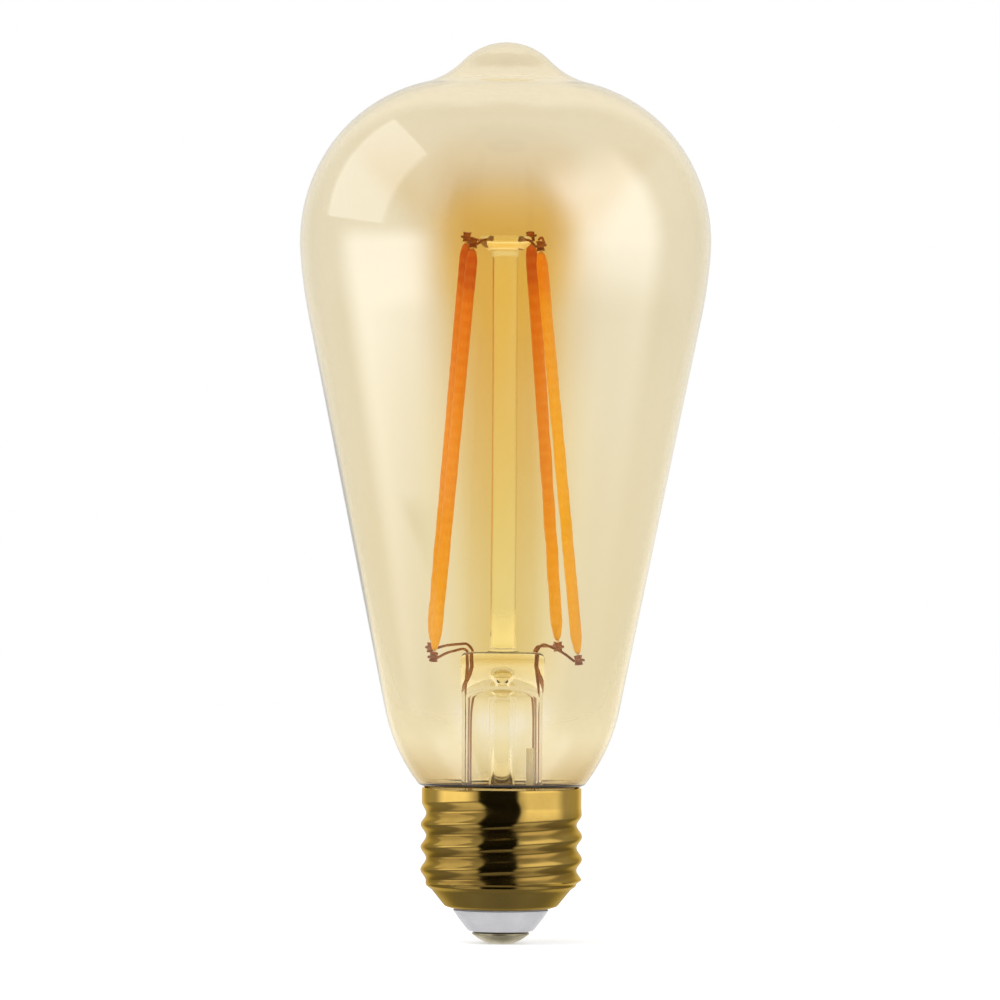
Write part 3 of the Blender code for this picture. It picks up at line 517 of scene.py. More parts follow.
def phosphor(name, foot, middle, head, tip):
    """Silicone with phosphor over a row of chips: four colours from its foot to its head's tip, darker
    and redder towards the head, partly the phosphor's colour and partly painted shade, with a faint
    painted glow in place of light scattered inside it.
    """
    made, tree = blank(name)
    at = place(tree)
    along = height_of(tree, at)
    # Darker and redder towards the head: partly the coat's colour, partly painted shade.
    lower = mix(tree, ramp(tree, along, 0.0, 30 * MM, smooth=True), foot, middle)
    upper = mix(tree, ramp(tree, along, 55 * MM, 60 * MM, smooth=True), head, tip)
    colour = mix(tree, ramp(tree, along, 32 * MM, 62 * MM, smooth=True), lower, upper)
    chips = ramp(tree, waves(tree, at, 150.0), 0.2, 1.0, 0.0, 0.06)
    colour = mix(tree, chips, colour, rgb(1.0, 0.72, 0.2))
    grain = noise(tree, at, 2600.0, 4.0)
    colour = mix(tree, ramp(tree, grain, 0.35, 0.75, 0.0, 0.22), colour, rgb(0.5, 0.14, 0.01))
    lumps = maths(tree, "ADD", grain, maths(tree, "MULTIPLY", noise(tree, at, 420.0, 2.0), 2.0))
    shader = surface(
        tree,
        Base_Color=colour,
        Roughness=ramp(tree, grain, 0.3, 0.7, 0.32, 0.5),
        Specular_IOR_Level=0.2,
        # Painted light: a faint emission of the coat's own colour, in place of light scattered inside it.
        Emission_Color=colour,
        Emission_Strength=0.12,
        Normal=bump(tree, lumps, 0.3, 0.05 * MM),
    )
    return close(made, tree, shader)


def metal(name, bright, dark, rough, scratch, wear_scale=400.0):
    """A metal with fine marks across its grain, uneven polish and patches of tarnish."""
    made, tree = blank(name)
    at = place(tree)
    tarnish = noise(tree, at, wear_scale, 4.0, 0.6)
    marks = noise(tree, scaled(tree, at, (1, 1, 14)), scratch, 4.0, 0.7)
    patches = ramp(tree, tarnish, 0.2, 0.8, rough * 0.7, rough * 1.3)
    shader = surface(
        tree,
        Base_Color=mix(tree, ramp(tree, tarnish, 0.35, 0.75), bright, dark),
        Metallic=1.0,
        Roughness=maths(tree, "ADD", patches, maths(tree, "MULTIPLY", marks, 0.06)),
        Normal=bump(tree, marks, 0.12, 0.02 * MM),
    )
    return close(made, tree, shader)


def brass():
    """Polished brass, darker and rougher in the thread's grooves, with fine marks round it from the
    rolling. Painted shade darkens the thread below the band and the taper at the bottom, and a painted
    highlight brightens the band.
    """
    made, tree = blank("brass")
    at = place(tree)
    high = height_of(tree, at)
    mottled = noise(tree, at, 260.0, 4.0, 0.6)
    rings = noise(tree, scaled(tree, at, (1, 1, 26)), 160.0, 4.0, 0.65)
    tarnish = ramp(tree, mottled, 0.3, 0.75)
    colour = mix(tree, tarnish, rgb(0.58, 0.385, 0.098), rgb(0.46, 0.29, 0.066))
    groove = ramp(tree, radius_of(tree, at), 12.25 * MM, 12.75 * MM, 1.0, 0.0, True)
    threaded = product(tree, groove, ramp(tree, high, 9.0 * MM, 10.2 * MM))
    colour = mix(tree, product(tree, threaded, 0.5), colour, rgb(0.2, 0.11, 0.025))
    # Painted shade: the thread below the band is darkened; the mask called worn here is shade, not wear.
    worn = ramp(tree, high, 21.5 * MM, 19.5 * MM, 0.0, 0.3, True)
    colour = mix(tree, worn, colour, rgb(0.3, 0.19, 0.045))
    # Painted highlight: the band is painted a brighter brass colour.
    band = ramp(tree, high, 20.5 * MM, 22 * MM, 0.0, 0.35, True)
    colour = mix(tree, band, colour, rgb(0.76, 0.5, 0.12))
    # Painted shade: the taper at the bottom, facing down, is darkened as if in its own shadow; it is also
    # rougher.
    under = ramp(tree, high, 9.6 * MM, 8.6 * MM, 0.0, 1.0, True)
    colour = mix(tree, product(tree, under, 0.5), colour, rgb(0.3, 0.21, 0.06))
    patches = ramp(tree, mottled, 0.25, 0.8, 0.07, 0.15)
    polish = maths(tree, "ADD", patches, product(tree, threaded, 0.08))
    shader = surface(
        tree,
        Base_Color=colour,
        Metallic=1.0,
        Specular_Tint=rgb(1.0, 0.82, 0.45),
        Roughness=maths(tree, "ADD", polish, product(tree, under, 0.2)),
        Normal=bump(tree, rings, 0.1, 0.03 * MM),
    )
    return close(made, tree, shader)


def solid(name, colour, shade, rough, scale, depth, coat=0.0):
    """Plastic, ceramic or resin: two shades in a fine grain, with a bump to match."""
    made, tree = blank(name)
    at = place(tree)
    coarse = noise(tree, at, scale, 4.0, 0.6)
    fine = noise(tree, at, scale * 9, 3.0)
    shader = surface(
        tree,
        Base_Color=mix(tree, ramp(tree, coarse, 0.3, 0.7), colour, shade),
        Roughness=ramp(tree, fine, 0.3, 0.7, rough * 0.85, rough * 1.15),
        Coat_Weight=coat,
        Normal=bump(tree, maths(tree, "ADD", coarse, fine), 0.25, depth),
    )
    return close(made, tree, shader)


def board(name, mask, mask_shade, copper):
    """A circuit board: solder mask over tracks and pads."""
    made, tree = blank(name)
    at = place(tree)
    across = node(tree, "SeparateXYZ", {0: at}).outputs["X"]
    flat = node(tree, "CombineXYZ", {0: across, 1: height_of(tree, at)}).outputs[0]
    inputs = {"Vector": flat, "Scale": 380.0, "Mortar Size": 0.06}
    gaps = node(tree, "TexBrick", inputs, offset=0.5).outputs["Fac"]
    weave = noise(tree, at, 1500.0, 3.0)
    base = mix(tree, ramp(tree, weave, 0.3, 0.7), mask, mask_shade)
    shader = surface(
        tree,
        Base_Color=mix(tree, product(tree, gaps, 0.75), base, copper),
        Roughness=ramp(tree, weave, 0.3, 0.7, 0.3, 0.45),
        Normal=bump(tree, maths(tree, "SUBTRACT", 1.0, gaps), 0.3, 0.05 * MM),
    )
    return close(made, tree, shader)


def fuse_body():
    """A moulded resistor body with painted bands."""
    made, tree = blank("fuse_body")
    at = place(tree)
    grain = noise(tree, at, 900.0, 3.0)
    base = mix(tree, ramp(tree, grain, 0.3, 0.7), rgb(0.09, 0.19, 0.11), rgb(0.13, 0.25, 0.15))
    up = ramp(tree, height_of(tree, at), 10 * MM, 14 * MM)
    paint = mix(tree, up, rgb(0.3, 0.1, 0.03), rgb(0.6, 0.42, 0.1))
    stripe = ramp(tree, waves(tree, at, 240.0), 0.75, 0.8)
    shader = surface(
        tree,
        Base_Color=mix(tree, stripe, base, paint),
        Roughness=0.42,
        Coat_Weight=0.3,
        Normal=bump(tree, grain, 0.2, 0.03 * MM),
    )
    return close(made, tree, shader)


def choke():
    """Ferrite flanges with copper wire wound on the waist."""
    made, tree = blank("ferrite")
    at = place(tree)
    low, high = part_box("power_inductor")
    middle = (low + high) / 2
    inputs = {0: at, 1: (middle.x, middle.y, 0)}
    moved = node(tree, "VectorMath", inputs, operation="SUBTRACT").outputs[0]
    wound = ramp(tree, radius_of(tree, moved), 2.6 * MM, 2.7 * MM, 1.0, 0.0)
    coils = waves(tree, at, 900.0)
    grain = noise(tree, at, 1200.0, 4.0)
    core = mix(tree, grain, rgb(0.03, 0.028, 0.028), rgb(0.07, 0.065, 0.06))
    wire = mix(tree, coils, rgb(0.2, 0.06, 0.02), rgb(0.6, 0.24, 0.09))
    relief = maths(tree, "ADD", grain, product(tree, coils, wound))
    shader = surface(
        tree,
        Base_Color=mix(tree, wound, core, wire),
        Metallic=product(tree, wound, 0.8),
        Roughness=ramp(tree, grain, 0.3, 0.7, 0.4, 0.6),
        Normal=bump(tree, relief, 0.4, 0.05 * MM),
    )
    return close(made, tree, shader)


# The glass.


def glass_bulb():
    """The blown envelope: one even wall from the pip down to the neck in the base."""
    moves = [
        (9.75 * MM, 45.5),
        (13.1 * MM, 13.4),
        (25.5 * MM, 56.3),
        (26.8 * MM, 94.0),
        (78.7 * MM, 101.4),
        (64.7 * MM, None),
        (28.8 * MM, 127.2),
        (1.1 * MM, 162.0),
        (0.65 * MM, None),
        (1.3 * MM, 90.0),
        (6.2 * MM, None),
    ]
    outside = outline((0.0, ENVELOPE_TOP), 0.0, moves, 0.005 * MM)
    inside = inset(outside, ENVELOPE_WALL)
    fit = BULB_RADIUS / max(r for r, _, _ in outside)
    profile = [(r * min(fit, 1.0), z) for r, z, _ in outside + inside[::-1]]
    last = len(outside) - 1
    mesh = turned("envelope", profile, 144, paint=lambda _, level: 0 if level < last else 1)
    part("envelope", mesh, [amber_outside(), amber_inside()], "amber_glass", ["glass_envelope"])


def press_rings():
    """The press from its square top down to where it is round."""
    corner = 1.25 * MM
    edge = 0.75 * MM
    half_depth = 3.6 * MM
    steps = 8
    rings = []
    for i in range(steps + 1):
        turn = pi / 2 * i / steps
        wide = FLARE_RADIUS - corner * (1 - sin(turn))
        deep = half_depth - edge * (1 - sin(turn))
        rings.append(squircle(wide, deep, PRESS_TOP - (1 - cos(turn)) * 1.1 * MM, 3.4))
    # Height, share of the flare's radius, half depth and roundness, down to the round flare.
    waist = [
        (45.0, 1.0, 3.6, 3.4),
        (44.6, 1.0, 3.75, 3.3),
        (44.2, 1.005, 4.1, 3.0),
        (43.4, 1.01, 4.5, 2.7),
        (42.6, 1.005, 5.0, 2.45),
        (41.8, 1.0, 5.6, 2.25),
        (41.0, 0.985, 6.2, 2.08),
        (40.4, 0.972, 6.5, 2.0),
    ]
    for z, wide, deep, power in waist:
        rings.append(squircle(FLARE_RADIUS * wide, deep * MM, z * MM, power))
    return rings


def button_profile():
    """(radius, height) from the button's top down the rod to the rod's foot."""
    rim = 0.5 * MM
    return [
        (0.0, BUTTON_TOP),
        (BUTTON_RADIUS * 0.5, BUTTON_TOP - 0.02 * MM),
        (BUTTON_RADIUS - rim, BUTTON_TOP - 0.08 * MM),
        (BUTTON_RADIUS - rim * 0.3, BUTTON_TOP - 0.25 * MM),
        (BUTTON_RADIUS, BUTTON_TOP - 0.6 * MM),
        (BUTTON_RADIUS * 0.985, BUTTON_TOP - 1.1 * MM),
        (BUTTON_RADIUS * 0.9, BUTTON_TOP - 1.6 * MM),
        (BUTTON_RADIUS * 0.76, BUTTON_TOP - 2.05 * MM),
        (BUTTON_RADIUS * 0.6, BUTTON_TOP - 2.5 * MM),
        (ROD_RADIUS * 1.06, BUTTON_TOP - 2.9 * MM),
        (ROD_RADIUS, BUTTON_TOP - 3.6 * MM),
        (ROD_RADIUS * 0.97, BUTTON_TOP - 20 * MM),
        (ROD_RADIUS * 0.99, PRESS_TOP + 8 * MM),
        (ROD_RADIUS, PRESS_TOP + 0.7 * MM),
        (ROD_RADIUS + 0.15 * MM, PRESS_TOP + 0.25 * MM),
    ]


def inner_rings():
    """The press's underside in the flare, and the exhaust tube that hangs from it."""
    shoulder = [(5.35, 40.3), (4.8, 40.85), (4.1, 41.15), (3.4, 41.1), (2.8, 40.7)]
    shoulder += [(2.35, 40.1), (2.15, 39.3)]
    rings = [circle(r * MM, z * MM) for r, z in shoulder]
    tip = [(1.0, 2.6), (0.96, 1.7), (0.78, 0.85), (0.45, 0.2), (0.0, 0.0)]
    return rings + [circle(EXHAUST_RADIUS * r, EXHAUST_TIP + z * MM) for r, z in tip]


def bore_rings():
    """The closed void in the exhaust tube, with the bubble where it meets the press."""
    foot = [(0.0, 1.4), (0.6, 1.7), (1.0, 2.8)]
    rings = [circle(EXHAUST_BORE * r, EXHAUST_TIP + z * MM) for r, z in foot]
    bubble = [(1.3, 39.6), (1.15, 40.2), (0.95, 40.7), (1.25, 41.3), (1.75, 41.9)]
    bubble += [(1.95, 42.6), (1.75, 43.3), (1.2, 43.75), (0.6, 43.95), (0.0, 44.0)]
    return rings + [circle(r * MM, z * MM) for r, z in bubble]


def stem():
    """Flare, press, exhaust tube, rod and button as one piece of fused clear glass."""
    moves = [(14.4 * MM, None), (8.8 * MM, 35.0)]
    flare = outline((6.5 * MM, 39.6 * MM), 90.0, moves, 0.01 * MM)
    foot_radius = ROD_RADIUS + 0.6 * MM
    rod_foot = squircle(foot_radius, foot_radius, PRESS_TOP + 0.02 * MM, 2.0)
    rod = [circle(r, z) for r, z in button_profile()]
    press = press_rings()
    crown = [mixed_ring(rod_foot, press[0], share) for share in (0.4, 0.8)]
    outside = rod + [rod_foot] + crown + press + [circle(r, z) for r, z, _ in flare]
    lining = [circle(r, z) for r, z, _ in inset(flare, FLARE_WALL)[::-1]]
    last = len(outside) - 1

    def glass_at(strip, level):
        if strip or level >= last:
            return 1
        return 2 if level < len(rod) else 0

    strips = [outside + lining + inner_rings(), bore_rings()]
    mesh = skin("stem_glass", strips, 50.0, glass_at)
    glasses = [
        clear_glass("clear_glass", 0.45, 1.0, 0.75),
        clear_glass("clear_glass_inside", 0.9, 1.0, 0.3),
        clear_glass("clear_glass_rod", 0.3, 0.75, 0.75, 0.06),
    ]
    nodes = ["stem_flare", "stem_press", "exhaust_tube", "stem_rod", "rod_button"]
    part("stem_glass", mesh, glasses, "clear_glass", nodes)


# Filaments and wires.


def on_circle(azimuth, radius, z):
    """A point round the Z axis, at an azimuth in degrees from +X."""
    return Vector((radius * cos(radians(azimuth)), radius * sin(radians(azimuth)), z))


def filament_frame(where):
    """A filament's own frame: its origin at the foot, Z along it and X round the bulb's axis."""
    foot = on_circle(PLACES[where], FOOT_RADIUS, FOOT_HEIGHTS[where] * MM)
    lean = on_circle(HEADS[where], HEAD_RADIUS, foot.z) - foot
    rise = Vector((0, 0, (COAT_LENGTH**2 - lean.length_squared) ** 0.5))
    along = (lean + rise).normalized()
    inward = along.cross(on_circle(PLACES[where] + 90, 1.0, 0.0)).normalized()
    turn = Matrix((inward.cross(along), inward, along)).transposed().to_4x4()
    return Matrix.Translation(foot) @ turn


def coat_mesh(name, phase):
    """A coat with a long taper at its foot, a blunter head and a faint swelling over each chip."""
    chips, stations, sides = 28, 168, 24
    foot_taper, head_taper, round_end = 3.6 * MM, 2.6 * MM, 0.5 * MM
    rings = []
    for i in range(stations + 1):
        z = COAT_LENGTH * i / stations
        foot = min(1.0, z / foot_taper)
        head = min(1.0, (COAT_LENGTH - z) / head_taper)
        size = (0.42 + 0.58 * sin(foot * pi / 2)) * (0.6 + 0.4 * sin(head * pi / 2))
        tip = min(1.0, min(z, COAT_LENGTH - z) / round_end)
        size *= 0.62 + 0.38 * (1 - (1 - tip) ** 2) ** 0.5
        over_chips = 0.014 * sin(2 * pi * chips * z / COAT_LENGTH)
        uneven = 0.014 * sin(z * 310 + phase) * sin(z * 733 + phase)
        size *= 1 + over_chips + uneven
        ring = []
        for a in turns(sides):
            wobble = size * (1 + 0.012 * sin(3 * a + z * 500 + phase))
            across, deep = COAT_HALF_WIDTH * cos(a), COAT_HALF_DEPTH * sin(a)
            ring.append(Vector((across * wobble, deep * wobble, z)))
        rings.append(ring)
    rings = [[Vector((0, 0, 0))]] + rings + [[Vector((0, 0, COAT_LENGTH))]]
    return skin(name, [rings[::-1]], 60.0)


def crimp_mesh(name, phase):
    """A sleeve squeezed flat on the tab, with ragged lips."""
    levels, sides = 14, 24
    rings = []
    for i in range(levels + 1):
        z = CRIMP_HALF * (1 - 2 * i / levels)
        pinch = 1 - 0.34 * (1 - (z / CRIMP_HALF) ** 2)
        ring = []
        for a in turns(sides):
            rag = 1 + 0.035 * sin(3 * a + phase + z * 2600) + 0.015 * sin(7 * a + 2 * phase)
            across = CRIMP_RADIUS * cos(a) * (1.0 + 0.16 * (1 - pinch)) * rag
            deep = CRIMP_RADIUS * sin(a) * pinch * rag
            ring.append(Vector((across, deep, z * (1 + 0.08 * sin(2 * a + phase)))))
        rings.append(ring)
    bored = (rings[-1], rings[levels // 2], rings[0])
    bore = [[Vector((p.x * 0.5, p.y * 0.5, p.z * 0.96)) for p in ring] for ring in bored]
    loop = rings + bore
    return skin(name, [loop + [loop[0]]], 50.0)


def crimp_centre(where, end):
    """The middle of a crimp. end is 0 at the foot and 1 at the head."""
    along = COAT_LENGTH + CRIMP_GAP if end else -CRIMP_GAP
    return filament_frame(where) @ Vector((0, 0, along))


def coat_looks():
    """The yellower phosphor of the front right filament, and the deeper one of the others."""
    yellow = phosphor(
        "phosphor_amber",
        rgb(0.86, 0.43, 0.012),
        rgb(0.8, 0.41, 0.012),
        rgb(0.78, 0.37, 0.012),
        rgb(0.74, 0.27, 0.015),
    )
    red = phosphor(
        "phosphor_deep",
        rgb(0.86, 0.42, 0.012),
        rgb(0.76, 0.28, 0.012),
        rgb(0.68, 0.19, 0.015),
        rgb(0.5, 0.1, 0.02),
    )
    return {where: yellow if where == "front_right" else red for where in PLACES}


def filaments():
    looks = coat_looks()
    copper = metal("crimp_copper", rgb(0.36, 0.12, 0.05), rgb(0.16, 0.045, 0.02), 0.35, 900.0)
    strip = metal("filament_strip", rgb(0.75, 0.6, 0.42), rgb(0.5, 0.36, 0.2), 0.25, 1200.0)
    for number, where in enumerate(PLACES):
        place_at = filament_frame(where)
        name = f"coat_{where}"
        mesh = coat_mesh(name, 1.7 * number)
        part(name, mesh, [looks[where]], "phosphor", [f"filament_coat_{where}"], place_at)
        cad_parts[f"filament_strip_{where}"].material_slots[0].material = strip
        for end, label in enumerate(("lower", "upper")):
            name = f"{label}_pinch_{where}"
            mesh = crimp_mesh(name, 0.9 * number + 2.1 * end)
            at = Matrix.Translation(crimp_centre(where, end)) @ place_at.to_3x3().to_4x4()
            part(name, mesh, [copper], "crimp", [f"{label}_crimp_{where}"], at)


def loop_round(centre, source, turn):
    """Points of a wire's last loop round a crimp, from the side that faces the source."""
    first = atan2(source.y - centre.y, source.x - centre.x)
    steps = 8
    points = []
    for i in range(steps + 1):
        angle = first + turn * radians(250) * i / steps
        lift = 0.35 * MM * (i / steps - 0.5)
        points.append(centre + Vector((LOOP_RADIUS * cos(angle), LOOP_RADIUS * sin(angle), lift)))
    return points


def lead_wires():
    """The wires from the board up the flare, through the press and out to the filaments' feet."""
    copper = metal("lead_copper", rgb(0.36, 0.15, 0.06), rgb(0.17, 0.06, 0.025), 0.28, 700.0)
    for where in PLACES:
        x = PRESS_X[where] * MM
        rise = ARCHES[where] * MM
        back = -1 if where.startswith("front") else 1
        side = 1 if x > 0 else -1
        y = 1.1 * MM * back
        in_base = (side * 5.26 * MM, back * 0.85 * MM)
        in_flare = (side * 5.26 * MM, back * 1.6 * MM)
        crimp = crimp_centre(where, 0)
        out = Vector((crimp.x - x, crimp.y - y, 0)).normalized()
        mouth = Vector((x, y, PRESS_TOP))
        points = [
            Vector((*in_base, 14.2 * MM)),
            Vector((*in_base, 17.2 * MM)),
            Vector((*in_flare, 22.2 * MM)),
            Vector((*in_flare, 37.4 * MM)),
            Vector((x - side * 0.25 * MM, y, 42.6 * MM)),
            mouth,
            mouth + out * 1.3 * MM + Vector((0, 0, rise)),
            Vector((crimp.x, crimp.y, (PRESS_TOP + rise + crimp.z) / 2)) - out * 3.4 * MM,
        ]
        points += loop_round(crimp, mouth, side * back)
        mesh = tube_mesh(f"lead_{where}", rounded(points, 1.4 * MM), LEAD_RADIUS, BEAD_SCALE)
        part(f"lead_{where}", mesh, [copper], "lead_wire", [f"lead_wire_{where}"])


def hook_wires():
    """The wires from the button to the filaments' heads, each ending in a loop round its crimp."""
    metals = metal("hook_metal", rgb(0.38, 0.14, 0.06), rgb(0.18, 0.055, 0.025), 0.3, 800.0)
    level = BUTTON_TOP - 1.05 * MM
    for where, azimuth in HEADS.items():
        crimp = crimp_centre(where, 1)
        start = on_circle(azimuth, 2.4 * MM, level + 0.45 * MM)
        outer = on_circle(azimuth, BUTTON_RADIUS + 0.7 * MM, level + 0.3 * MM)
        points = [start, outer]
        points += loop_round(crimp, start, 1 if where.startswith("front") else -1)
        if where == "front_right":
            peak = crimp + Vector((0.2 * MM, 0, 1.5 * MM))
            points.append(peak)
            points.append(peak + Vector((-0.5 * MM, 0, -0.5 * MM)))
        mesh = tube_mesh(f"hook_{where}", rounded(points, 0.7 * MM), HOOK_RADIUS)
        part(f"hook_{where}", mesh, [metals], "hook_wire", [f"hook_wire_{where}"])


# The base.


def eased(share):
    """A share held between 0 and 1, with a soft start and end."""
    share = min(1.0, max(0.0, share))
    return share * share * (3 - 2 * share)


def shell_radius(z, turn):
    """The shell's outer radius at a height. turn runs from 0 at -X anticlockwise to 1."""
    phase = (z - CREST_HEIGHT) / THREAD_PITCH - turn
    groove = floor(phase)
    full = 1.0
    if groove >= 1:
        full = (RUN_OUT_END - turn) / (RUN_OUT_END - RUN_OUT_START) if groove == 1 else 0.0
    to_band = min(1.0, max(0.0, (z - BAND_START) / (BAND_FULL - BAND_START)))
    crest = CREST_RADIUS + (BAND_RADIUS - CREST_RADIUS) * to_band
    depth = (1 - cos(2 * pi * phase)) / 2
    threaded = crest - (crest - ROOT_RADIUS) * depth * eased(full)
    return min(threaded, ROOT_RADIUS + (z - SHELL_BOTTOM) * 1.3)


def shell_ring(z, inward):
    """A ring of the shell's thread or band, moved inward, with the top edge rolled over."""
    roll = 0.1 * MM * max(0.0, 1 - (SHELL_TOP - z) / (0.25 * MM)) ** 2
    points = []
    for i in range(SHELL_SIDES):
        turn = i / SHELL_SIDES
        radius = shell_radius(z, turn) - inward - roll
        angle = pi + 2 * pi * turn
        points.append(Vector((radius * cos(angle), radius * sin(angle), z)))
    return points


def taper_ring(radius, z):
    """A plain ring under the thread, in step with shell_ring's points."""
    return [Vector((-radius * cos(a), -radius * sin(a), z)) for a in turns(SHELL_SIDES)]


def screw_base():
    """The rolled brass shell, with a rolled rim at the top and its lip turned in at the bottom."""
    moves = [
        (0.6 * MM, 146.0),
        (0.5 * MM, None),
        (2.0 * MM, 128.9),
        (2.9 * MM, None),
        (0.75 * MM, 163.0),
        (1.1 * MM, None),
    ]
    under = outline((ROOT_RADIUS, SHELL_BOTTOM), 90.0, moves, 0.004 * MM)
    rows = 96
    heights = [SHELL_TOP - (SHELL_TOP - SHELL_BOTTOM) * i / rows for i in range(rows + 1)]
    loop = [shell_ring(z, 0.0) for z in heights]
    loop += [taper_ring(r, z) for r, z, _ in under[1:]]
    loop += [taper_ring(r, z) for r, z, _ in inset(under, SHELL_WALL)[::-1]]
    loop += [shell_ring(z, SHELL_WALL) for z in heights[::-1]]
    mesh = skin("brass_shell", [loop + [loop[0]]], 50.0)
    part("brass_shell", mesh, [brass()], "brass", ["screw_shell"])


def insulator():
    """The pale glassy ring, with rounded edges."""
    top = top_of("insulator") / MM
    foot = bottom_of("insulator") / MM
    points = [
        (1.35, top),
        (8.35, top),
        (8.85, top - 0.4),
        (8.4, top - 1.05),
        (7.45, top - 1.25),
        (7.45, top - 2.05),
        (7.75, top - 2.1),
        (6.6, foot + 1.75),
        (5.2, foot),
        (1.35, foot),
    ]
    path = rounded([Vector((r, z, 0)) for r, z in points], 0.3)
    profile = [(p.x * MM, p.y * MM) for p in path]
    mesh = turned("insulator_ring", profile, 96, ring=True, sharp=50.0)
    pale, grey = rgb(0.52, 0.52, 0.54), rgb(0.47, 0.47, 0.495)
    glassy = solid("insulator_glass", pale, grey, 0.3, 500.0, 0.02 * MM, coat=0.4)
    part("insulator_ring", mesh, [glassy], "insulator", ["insulator"])


def contact():
    """The domed contact: a stepped rim, a worn flat tip and the rivet's spigot."""
    rim = 1.78
    spigot = [(0.0, 8.2), (0.85, 8.2), (1.0, 8.05), (1.0, rim)]
    edge = [(4.5, rim), (4.65, rim - 0.12), (4.62, rim - 0.3)]
    dome = [(4.2, 1.2), (3.6, 0.78), (3.0, 0.44), (2.4, 0.18), (1.9, 0.02), (1.6, 0.0), (0.0, 0.0)]
    path = rounded([Vector((r, z, 0)) for r, z in spigot + edge + dome], 0.18, 4)
    points = [(p.x * MM, p.y * MM) for p in path]
    points[0] = (0.0, points[0][1])
    points[-1] = (0.0, points[-1][1])
    mesh = turned("tip_contact", points, 96, sharp=50.0)
    worn = metal("contact_metal", rgb(0.68, 0.6, 0.4), rgb(0.45, 0.39, 0.24), 0.3, 600.0)
    part("tip_contact", mesh, [worn], "contact", ["centre_contact"])


def two_tone(name, colour, shade, rough, scale, depth, coat=0.0):
    """solid, from plain triples, with its bump's depth in millimetres."""
    return solid(name, rgb(*colour), rgb(*shade), rough, scale, depth * MM, coat)


def inner_materials():
    """Better materials on the CAD pieces that keep their own shapes."""
    tin = metal("tinned_wire", rgb(0.62, 0.6, 0.55), rgb(0.4, 0.38, 0.34), 0.25, 900.0)
    chip = two_tone("chip_case", (0.02, 0.02, 0.022), (0.035, 0.035, 0.038), 0.5, 900.0, 0.02)
    cement = two_tone("cement", (0.55, 0.5, 0.42), (0.42, 0.37, 0.3), 0.85, 500.0, 0.1)
    sleeve = two_tone("antenna_sleeve", (0.88, 0.84, 0.72), (0.78, 0.73, 0.6), 0.5, 800.0, 0.02)
    can = two_tone("capacitor_sleeve", (0.03, 0.035, 0.055), (0.02, 0.025, 0.04), 0.3, 300.0, 0.01, 0.5)
    film = two_tone("film_case", (0.42, 0.06, 0.03), (0.34, 0.045, 0.025), 0.35, 500.0, 0.02, 0.4)
    green = (rgb(0.02, 0.12, 0.05), rgb(0.03, 0.16, 0.07), rgb(0.05, 0.26, 0.1))
    blue = (rgb(0.015, 0.04, 0.15), rgb(0.02, 0.055, 0.2), rgb(0.5, 0.38, 0.12))
    looks = {
        "base_cement": cement,
        "driver_board": board("driver_board", *green),
        "wireless_module": board("module_board", *blue),
        "shield_can": metal("shield", rgb(0.66, 0.66, 0.63), rgb(0.5, 0.5, 0.47), 0.25, 500.0),
        "bridge_rectifier": chip,
        "driver_chip": chip,
        "bulk_capacitor": can,
        "power_inductor": choke(),
        "film_capacitor": film,
        "fuse_resistor": fuse_body(),
        "shell_lead": tin,
        "contact_lead": tin,
        "antenna_wire": tin,
        "antenna_sleeve": sleeve,
    }
    for name, look in looks.items():
        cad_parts[name].material_slots[0].material = look


# The studio.


def studio():
    """A white world, dimmer where it is mirrored, with the view transform and the bounce limits."""
    world = bpy.data.worlds.new("studio")
    bpy.context.scene.world = world
    world.use_nodes = True
    tree = world.node_tree
    rays = node(tree, "LightPath").outputs
    mirrored = maths(tree, "MULTIPLY", rays["Is Glossy Ray"], rays["Is Reflection Ray"])
    upward = height_of(tree, node(tree, "TexCoord").outputs["Generated"])
    dim = ramp(tree, upward, -0.25, -0.1, AMBIENT_BELOW, AMBIENT, True)
    dark = maths(tree, "MULTIPLY", mirrored, maths(tree, "SUBTRACT", 1.0, dim))
    matt = maths(tree, "MULTIPLY", rays["Is Diffuse Ray"], 0.2)
    level = maths(tree, "SUBTRACT", 1.0, maths(tree, "ADD", dark, matt))
    tree.links.new(level, tree.nodes["Background"].inputs["Strength"])
    tree.nodes["Background"].inputs["Color"].default_value = rgb(1, 1, 1)
    bpy.context.scene.view_settings.view_transform = "Standard"
    bpy.context.scene.cycles.max_bounces = 24
    bpy.context.scene.cycles.transmission_bounces = 24
    bpy.context.scene.cycles.transparent_max_bounces = 24


def towards(azimuth, elevation, distance):
    """A point seen from the bulb's middle, at an azimuth from the camera's side."""
    centre = (CAD_BOX[0] + CAD_BOX[1]) / 2
    a, e = radians(azimuth), radians(elevation)
    return centre + Vector((sin(a) * cos(e), -cos(a) * cos(e), sin(e))) * distance


def spaced(start, end):
    """Evenly spaced values across a card."""
    return [start + (end - start) * i / PANEL_STEPS for i in range(PANEL_STEPS + 1)]


def dome_patch(azimuths, elevations, distance):
    """Rows of points over a piece of a dome."""
    return [[towards(azimuth, e, distance) for azimuth in spaced(*azimuths)] for e in spaced(*elevations)]


def flat_patch(corners, distance):
    """Rows of points over a flat card, from its corners' directions, anticlockwise from low left."""
    low_left, low_right, high_right, high_left = [towards(*one, distance) for one in corners]
    rows = []
    for share in spaced(0.0, 1.0):
        left = low_left.lerp(high_left, share)
        right = low_right.lerp(high_right, share)
        rows.append([left.lerp(right, across) for across in spaced(0.0, 1.0)])
    return rows


